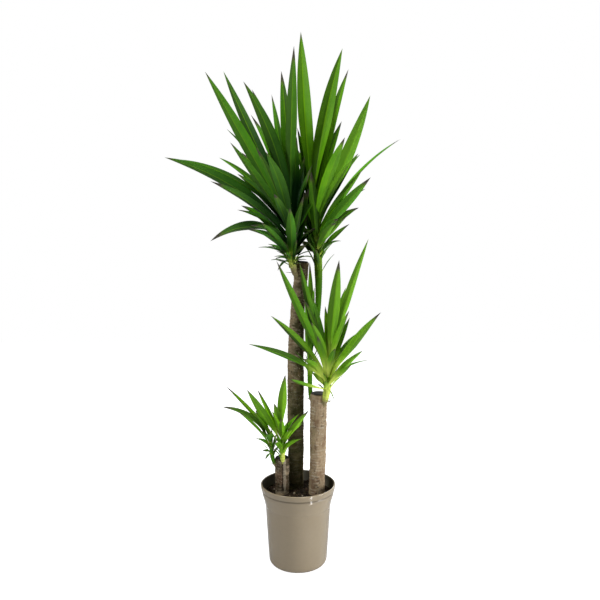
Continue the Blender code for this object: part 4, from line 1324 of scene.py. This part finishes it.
@dataclass
class LeafyShoot:
    """A shoot: a ringed stem, dry bracts at its foot and long channelled leaves."""

    shoot: Shoot
    habit: Habit
    inner: Spray | None
    bracts: int = 20
    fibres: int = 5
    rows: int = 28
    columns: int = 9
    thickness: float = 1.2 * MM
    edge_thickness: float = 0.35 * MM
    channel: float = 0.17
    fold_power: float = 1.25
    spacing_power: float = 0.92
    twist: float = 14.0
    bow: float = 0.009
    sway: float = 0.004
    ripple: float = 0.035
    rib_groove: float = 0.00035
    rib_width: float = 0.12
    steep_bracts: tuple = ((50.0, 84.0), (0.030, 0.085))     # climbs in degrees, lengths in metres
    open_bracts: tuple = ((5.0, 78.0), (0.025, 0.085))
    bract_radius: float = 0.009
    stem_sides: int = 36
    stem_step: float = 0.0015
    ring_pitch: float = 0.006
    ring_depth: float = 0.0006
    ring_width: float = 0.0009
    ring_wobble: float = 0.002
    stem_grain: float = 0.0003
    stem_range: float = 0.0016

    def depth(self) -> float:
        """How much of the pale foot the upper leaves of a dense, old crown lose, and how much painted shade
        its stem gets inside the crown.
        """
        return {Habit.RIPE: 0.45, Habit.OLD: 1.0}.get(self.habit, 0.0)

    def seat(self, share: float) -> Array:
        """The place on the crown's axis at a share of its length."""
        foot, heart = np.array(self.shoot.line[-2:]) * CM
        return foot + (heart - foot) * share

    def root(self, leaf: Leaf) -> Array:
        """Where a leaf's root lies: inside the crown's skin, on the side that the leaf heads for."""
        seat = self.seat(leaf.seat)
        reach = np.array([leaf.right * CM - seat[0], leaf.back * CM - seat[1], 0.0])
        radius = self.shoot.radii[-2] + (self.shoot.radii[-1] - self.shoot.radii[-2]) * leaf.seat
        return seat + unit(reach) * radius * MM * ROOT_SHARE

    def spread(self, spray: Spray, draw: random.Random) -> list[Leaf]:
        """The leaves of a spray: golden-ratio headings, climbing with their rank.

        Args:
            spray: the spray.
            draw: the shoot's random numbers.

        Returns:
            The leaves.
        """
        leaves = []
        for k in range(spray.count):
            rank = (k + 0.5) / spray.count
            turn = (k * GOLDEN_SHARE + 0.3) % 1.0
            heading = math.radians(between(spray.headings, turn))
            climb = math.radians(between(spray.climbs, rank) + draw.uniform(-4, 4))
            length = between(spray.lengths, rank) * draw.uniform(0.9, 1.1) * CM
            seat = between(spray.seats, rank)
            level = math.cos(climb)
            way = np.array([level * math.cos(heading), level * math.sin(heading), math.sin(climb)])
            tip = (self.seat(seat) + way * length) / CM
            width = spray.width * draw.uniform(0.85, 1.1)
            leaves.append(Leaf(seat, *tip, width, between(SAG_RANGE, rank), draw.uniform(0.1, 0.6)))
        return leaves

    def leaves(self) -> list[Leaf]:
        """The leaves placed one by one and those of the sprays."""
        draw = random.Random(f"{SEED} {self.shoot.name}")
        found = list(self.shoot.leaves)
        for spray in self.shoot.sprays:
            found += self.spread(spray, draw)
        return found

    def width(self, share: Array, width: float) -> Array:
        """Width of a blade: a power of a sine up to its broadest part, then less by the square of the way."""
        growth = np.sin(0.5 * np.pi * np.clip(share / LEAF_BROADEST, 0, 1)) ** GROWTH_POWER
        growth = FOOT_WIDTH + (1.0 - FOOT_WIDTH) * growth
        return width * growth * (1.0 - np.clip((share - LEAF_BROADEST) / (1 - LEAF_BROADEST), 0, 1) ** 2)

    def spine(self, seat: Array, tip: Array, leaf: Leaf, share: Array) -> tuple[Array, Array, Array]:
        """Centre line, sideways direction and upper normal of a blade.

        The line is a quadratic Bezier curve above its chord by the sag.  The blade starts with level edges
        and turns about the line over the first half of its length, by the leaf's facing share of the angle
        that takes its sideways direction square to the view from the front.

        Args:
            seat: the root's place.
            tip: the tip's place.
            leaf: the leaf.
            share: shares of the length.

        Returns:
            Three arrays, one row for each share.
        """
        chord = tip - seat
        length = float(np.linalg.norm(chord))
        level = math.hypot(chord[0], chord[1])
        rise = np.array([-chord[0] * chord[2] / level, -chord[1] * chord[2] / level, level]) / length
        middle = (seat + tip) / 2 + 2 * leaf.sag * length * rise
        t = share[:, None]
        line = (1 - t) ** 2 * seat + 2 * t * (1 - t) * middle + t ** 2 * tip
        way = unit(2 * (1 - t) * (middle - seat) + 2 * t * (tip - middle))
        sides = np.tile(np.array([chord[1], -chord[0], 0.0]) / level, (len(share), 1))
        normals = np.cross(sides, way)
        normals = normals * np.sign(normals @ rise)[:, None]
        turn = np.unwrap(np.arctan(sides[:, 1:2] / normals[:, 1:2]), axis=0, period=math.pi)
        turn = leaf.face * turn * np.clip(share / TURN_SHARE, 0, 1)[:, None]
        return line, *rolled(sides, normals, -turn)

    def blade(self, seat: Array, tip: Array, leaf: Leaf, draw: np.random.Generator, papery: float) -> Surface:
        """A leaf blade.

        On the grid of share s along and place u across, from edge to edge, a point is the centre line plus u
        times half the width sideways, plus the channel's lift, which grows as |u| to the power 1.25, plus or
        minus half the thickness, which falls from the rib to the edges.  A slow twist, a bow and a ripple of
        the edges, each a sine of s, make no two leaves alike.

        Args:
            seat: the root's place.
            tip: the tip's place.
            leaf: the leaf.
            draw: random numbers.
            papery: 0 for a green blade, up to 1 for a dry bract.

        Returns:
            The closed blade.
        """
        share = np.linspace(0.0, 1.0, self.rows + 1) ** self.spacing_power
        line, side, normal = self.spine(seat, tip, leaf, share)
        length = float(np.linalg.norm(tip - seat))
        twist = math.radians(draw.uniform(-self.twist, self.twist)) * share[:, None] ** 1.5
        side, normal = rolled(side, normal, twist)
        bow = draw.uniform(-self.bow, self.bow) * length * np.sin(np.pi * share)[:, None]
        sway = draw.uniform(-self.sway, self.sway) * length * np.sin(2 * np.pi * share)[:, None]
        line = line + side * bow + normal * sway
        across = np.linspace(-1.0, 1.0, self.columns)
        ring = np.concatenate([across, across[-2:0:-1]])
        above = np.concatenate([np.ones(self.columns), -np.ones(self.columns - 2)])
        above[[0, self.columns - 1]] = 0.0
        along = share[:-1, None]
        half = self.width(along, leaf.width * MM) / 2
        wide = ring * half
        fold = np.abs(ring) ** self.fold_power
        phase, beat = draw.uniform(0.0, math.tau), draw.uniform(3.0, 6.0)
        ripple = self.ripple * np.sin(beat * np.pi * along + phase + ring * 1.3)
        lift = 2 * half * fold * (self.channel * (1.0 + 0.5 * (1.0 - along)) + ripple * along)
        rib = 1.0 - 0.4 * along
        thick = (self.edge_thickness + (self.thickness * rib - self.edge_thickness) * (1.0 - ring ** 2)) / 2
        groove = self.rib_groove * np.exp(-(ring / self.rib_width) ** 2) * (above > 0)
        height = lift + above * thick - groove * step_between(half, 0.001, 0.006)
        grid = line[:-1, None] + side[:-1, None] * wide[..., None] + normal[:-1, None] * height[..., None]
        flat = np.zeros_like(height)
        upper = min(2.5 * leaf.seat, 0.98)
        habit = self.habit
        dryness = 1.0 - habit.pale * (1.0 - step_between(length, 0.06, 0.12))
        fresh = min(0.02 + 0.12 * habit.youth, habit.pale * length) * (1.0 - self.depth() * upper)
        age = 0.18 * (leaf.seat - 0.5)
        # lit paints light on one half of a blade and shade on the other, and hollow paints shade between the
        # tall crowns
        values = {
            "base": flat + along * length,
            "tip": flat + (1.0 - along) * length,
            "tone": flat + draw.uniform(0.0, 1.0),
            "lit": flat + draw.choice((-1.0, 1.0)) * draw.uniform(0.5, 1.0),
            "bright": flat + draw.uniform(0.40, 1.20) * habit.bright,
            "hollow": hollow(grid),
            "youth": flat + np.clip(habit.youth + draw.uniform(-0.20, 0.20) + age, 0, 1),
            "withered": flat + dryness * min(draw.uniform(0.0, 0.034 - 0.014 * habit.youth), 0.11 * length),
            "fresh": flat + fresh,
            "papery": flat + papery,
            "upper": flat + 0.5 + 0.5 * above,
        }
        uv = np.stack([flat + 0.5 + 0.5 * ring, flat + along], axis=-1)
        return tube(grid, values, uv, (line[0], line[-1]))

    def green(self, leaf: Leaf, draw: np.random.Generator) -> Surface:
        """The blade of a green leaf."""
        tip = np.array([leaf.right, leaf.back, leaf.up]) * CM
        return self.blade(self.root(leaf), tip, leaf, draw, 0.0)

    def foot_bracts(self, draw: np.random.Generator) -> list[Surface]:
        """Short leaflets and sheaths round the crown's foot, and dry fibres where the stem leaves the cane.

        Both are laid out at golden-ratio headings.  The sheaths of a young crown stand steep round its neck.
        """
        found = []
        radius = self.shoot.radii[-2] * MM
        size = (radius / self.bract_radius) ** 0.7
        steep = self.habit is not Habit.OLD
        climbs, lengths = self.steep_bracts if steep else self.open_bracts
        lowest, count = (-0.30, self.bracts) if steep else (-0.10, 2 * self.bracts)
        for k in range(count):
            out = self.heading(k, draw)
            seat = self.seat(draw.uniform(lowest, 0.12)) + out * radius * 0.55
            length = between(lengths, draw.uniform(0.0, 1.0)) * size
            climb = math.radians(between(climbs, draw.uniform(0.0, 1.0)))
            tip = seat + (out * math.cos(climb) + np.array([0.0, 0.0, math.sin(climb)])) * length
            leaf = Leaf(0.0, *(tip / CM), draw.uniform(6.0, 10.0) * size, draw.uniform(0.04, 0.14), 0.0)
            papery = 0.7 * (1.0 - self.habit.pale) * draw.uniform(0.0, 1.0) ** 3
            found.append(self.blade(seat, tip, leaf, draw, papery))
        exit_place = np.array(self.shoot.line[1]) * CM
        for k in range(self.fibres):
            out = self.heading(k, draw)
            seat = exit_place + out * self.shoot.radii[1] * MM * 0.6
            length = draw.uniform(0.010, 0.024)
            tip = seat + (out * 0.9 + np.array([0.0, 0.0, draw.uniform(-0.1, 0.45)])) * length
            leaf = Leaf(0.0, *(tip / CM), draw.uniform(1.6, 3.0), draw.uniform(-0.18, 0.05), 0.0)
            found.append(self.blade(seat, tip, leaf, draw, draw.uniform(0.7, 1.0)))
        return found

    def heading(self, number: int, draw: np.random.Generator) -> Array:
        """A level direction by the golden ratio, a little off at random."""
        angle = math.tau * (number * GOLDEN_SHARE + draw.uniform(0.0, 0.08))
        return np.array([math.cos(angle), math.sin(angle), 0.0])

    def dress_leaves(self, look: bpy.types.Material) -> None:
        """Make the leaves and bracts as one piece."""
        draw = np.random.default_rng(sum(map(ord, self.shoot.name)))
        parts = [self.green(leaf, draw) for leaf in self.leaves()]
        parts += self.foot_bracts(draw)
        if self.inner:
            parts += [self.green(leaf, draw) for leaf in self.spread(self.inner, random.Random(SEED))]
        place(self.shoot.name + "_leaves", joined(parts), look, (self.shoot.name,), 55.0)

    def dress_stem(self, look: bpy.types.Material) -> None:
        """Make the stem.

        Its radius carries a groove at every ring scar and fine noise; the rings wobble.
        """
        knots = np.array(self.shoot.line) * CM
        line = smooth_line(knots, self.stem_step)
        size = np.interp(line[:, 2], knots[:, 2], self.shoot.radii) * MM
        _, angle, out = rings_along(line, size, self.stem_sides)
        skin = line[:, None] + out * size[:, None, None]
        seed = len(self.shoot.name) + int(knots[0, 2] * 100)
        turn = (line[:, 2:3] + self.ring_wobble * layered_noise(skin, 0.02, seed, 2)) / self.ring_pitch
        near = np.abs(turn - np.round(turn)) * self.ring_pitch
        relief = -self.ring_depth * np.exp(-(near / self.ring_width) ** 2)
        relief = relief + self.stem_grain * layered_noise(skin, 0.004, seed + 4, 2)
        grid, _, _ = rings_along(line, size[:, None] + relief, self.stem_sides)
        foot, crown = knots[1, 2], knots[-2, 2]
        rise = np.clip((line[:, 2:3] - foot) / (crown + 0.01 - foot), 0.0, 1.0) + 0.0 * angle
        stalk = 1.0 if self.habit is Habit.RIPE else 0.0
        rise = rise * (0.42 if self.habit is Habit.OLD else 1.0)
        # Painted shade on the stem where it runs up among the leaves of a dense crown.
        painted_shade = step_between(grid[..., 2], crown + 0.02, crown + 0.06) * self.depth()
        values = {
            "relief": 0.6 + relief / self.stem_range, "rise": rise, "stalk": stalk + 0.0 * rise, "painted_shade": painted_shade,
        }
        place(self.shoot.name + "_stem", tube(grid, values), look, (self.shoot.name,), 60.0)


class Lamp(NamedTuple):
    """A soft rectangular light: its place, the place that it faces, its width and height, and its watts."""

    name: str
    where: tuple
    aim: tuple
    size: tuple
    power: float


LAMPS = (
    Lamp("key", (-1.7, -1.4, 1.9), (0.0, 0.0, 0.8), (0.6, 0.6), 36.0),
    Lamp("strip", (1.25, -0.45, 0.36), (0.0, 0.0, 0.12), (0.25, 0.6), 13.0),
    Lamp("glint", (0.1990, -0.2710, 0.140), (0.03, -0.087, 0.20), (0.018, 0.19), 0.17),
    Lamp("back", (0.7, 2.1, 1.7), (0.0, 0.0, 0.7), (1.0, 1.0), 16.0),
    Lamp("top", (0.3, -0.4, 2.9), (0.0, 0.0, 0.6), (0.9, 0.9), 30.0),
)


@dataclass
class Studio:
    """A white sweep with soft light: panels at the upper left, above and behind, and strips at the right."""

    camera_place: tuple = (0.0051, -1.8, 0.922)
    camera_tilt: float = 82.45
    lens: float = 44.06
    floor_size: float = 6.0
    ambient: float = 0.06

    def light(self, lamp: Lamp) -> None:
        """Hang a light, which the camera doesn't see."""
        data = bpy.data.lights.new(lamp.name, "AREA")
        data.shape = "RECTANGLE"
        data.size, data.size_y = lamp.size
        data.energy = lamp.power
        made = bpy.data.objects.new(lamp.name, data)
        made.location = lamp.where
        way = Vector(lamp.aim) - Vector(lamp.where)
        made.rotation_euler = way.to_track_quat("-Z", "Y").to_euler()
        made.visible_camera = False
        bpy.context.scene.collection.objects.link(made)

    def build(self, look: bpy.types.Material) -> None:
        """Set the camera, the lights, the world and the floor."""
        scene = bpy.context.scene
        data = bpy.data.cameras.new("camera")
        data.sensor_width = 36.0
        data.lens = self.lens
        camera = bpy.data.objects.new("camera", data)
        camera.location = self.camera_place
        camera.rotation_euler = (math.radians(self.camera_tilt), 0.0, 0.0)
        scene.collection.objects.link(camera)
        scene.camera = camera
        for lamp in LAMPS:
            self.light(lamp)
        world = bpy.data.worlds.new("studio")
        world.use_nodes = True
        nodes = Nodes(world.node_tree)
        glow = world.node_tree.nodes["Background"]
        seen = nodes.wire("LightPath", output="Is Camera Ray")
        nodes.feed(glow.inputs["Color"], (1.0, 1.0, 1.0))
        nodes.feed(glow.inputs["Strength"], seen.span(0.0, 1.0, self.ambient, 1.0))
        scene.world = world
        scene.view_settings.view_transform = "Standard"
        half = self.floor_size / 2
        corners = np.array([(-half, -half, 0.0), (half, -half, 0.0), (half, half, 0.0), (-half, half, 0.0)])
        floor = solid("floor", Surface(corners, np.array([[0, 1, 2, 3]]), np.zeros((0, 3), dtype=int)))
        floor.data.materials.append(look)


# Lightness of each cane's bark, partly its own tone and partly painted light and shade; how strongly its left
# is painted lighter and its right darker; and its moss.
BARK_SHADES = ((0.80, 1.90, 0.10), (1.34, 0.32, 0.05), (0.74, 0.0, 0.05))
INNER_LEAVES = {
    "shoot_tall_left": Spray(7, (0, 75), (48, 78), (9, 19), 20, (0.0, 0.5)),
    "shoot_tall_right": Spray(7, (105, 185), (60, 84), (9, 17), 20, (0.0, 0.4)),
}
HABITS = {
    "shoot_tall_left": Habit.OLD, "shoot_tall_right": Habit.RIPE, "shoot_medium_front": Habit.SOFT,
    "shoot_medium_back": Habit.RIPE, "shoot_short_main": Habit.FRESH, "shoot_short_side": Habit.RIPE,
}


def main() -> None:
    """Build the studio and the plant in order."""
    logging.basicConfig(level=logging.INFO, format="%(message)s")
    effects = Effects(shared_group("mottle", 10.0, mottle), shared_group("fibres", 1.0, fibres))
    Studio().build(Paper().make(effects))
    pot = Pot()
    pot.build(PotPlastic().make(effects))
    SoilBed(pot).build(Soil().make(effects), Crumb().make(effects))
    bark, wax = Bark().make(effects), Wax().make(effects)
    for number, (cane, light, painted_side_light, moss) in enumerate(zip(CANES, *BARK_SHADES)):
        barked = BarkedCane(cane, light, painted_side_light, moss, 20 + 31 * number, strip=cane.name == "cane_short")
        barked.build(bark)
        barked.seal(wax)
    leaf, stem = LeafSkin().make(effects), StemSkin().make(effects)
    for shoot in SHOOTS:
        leafy = LeafyShoot(shoot, HABITS[shoot.name], INNER_LEAVES.get(shoot.name))
        leafy.dress_stem(stem)
        leafy.dress_leaves(leaf)


if __name__ == "__main__":
    main()
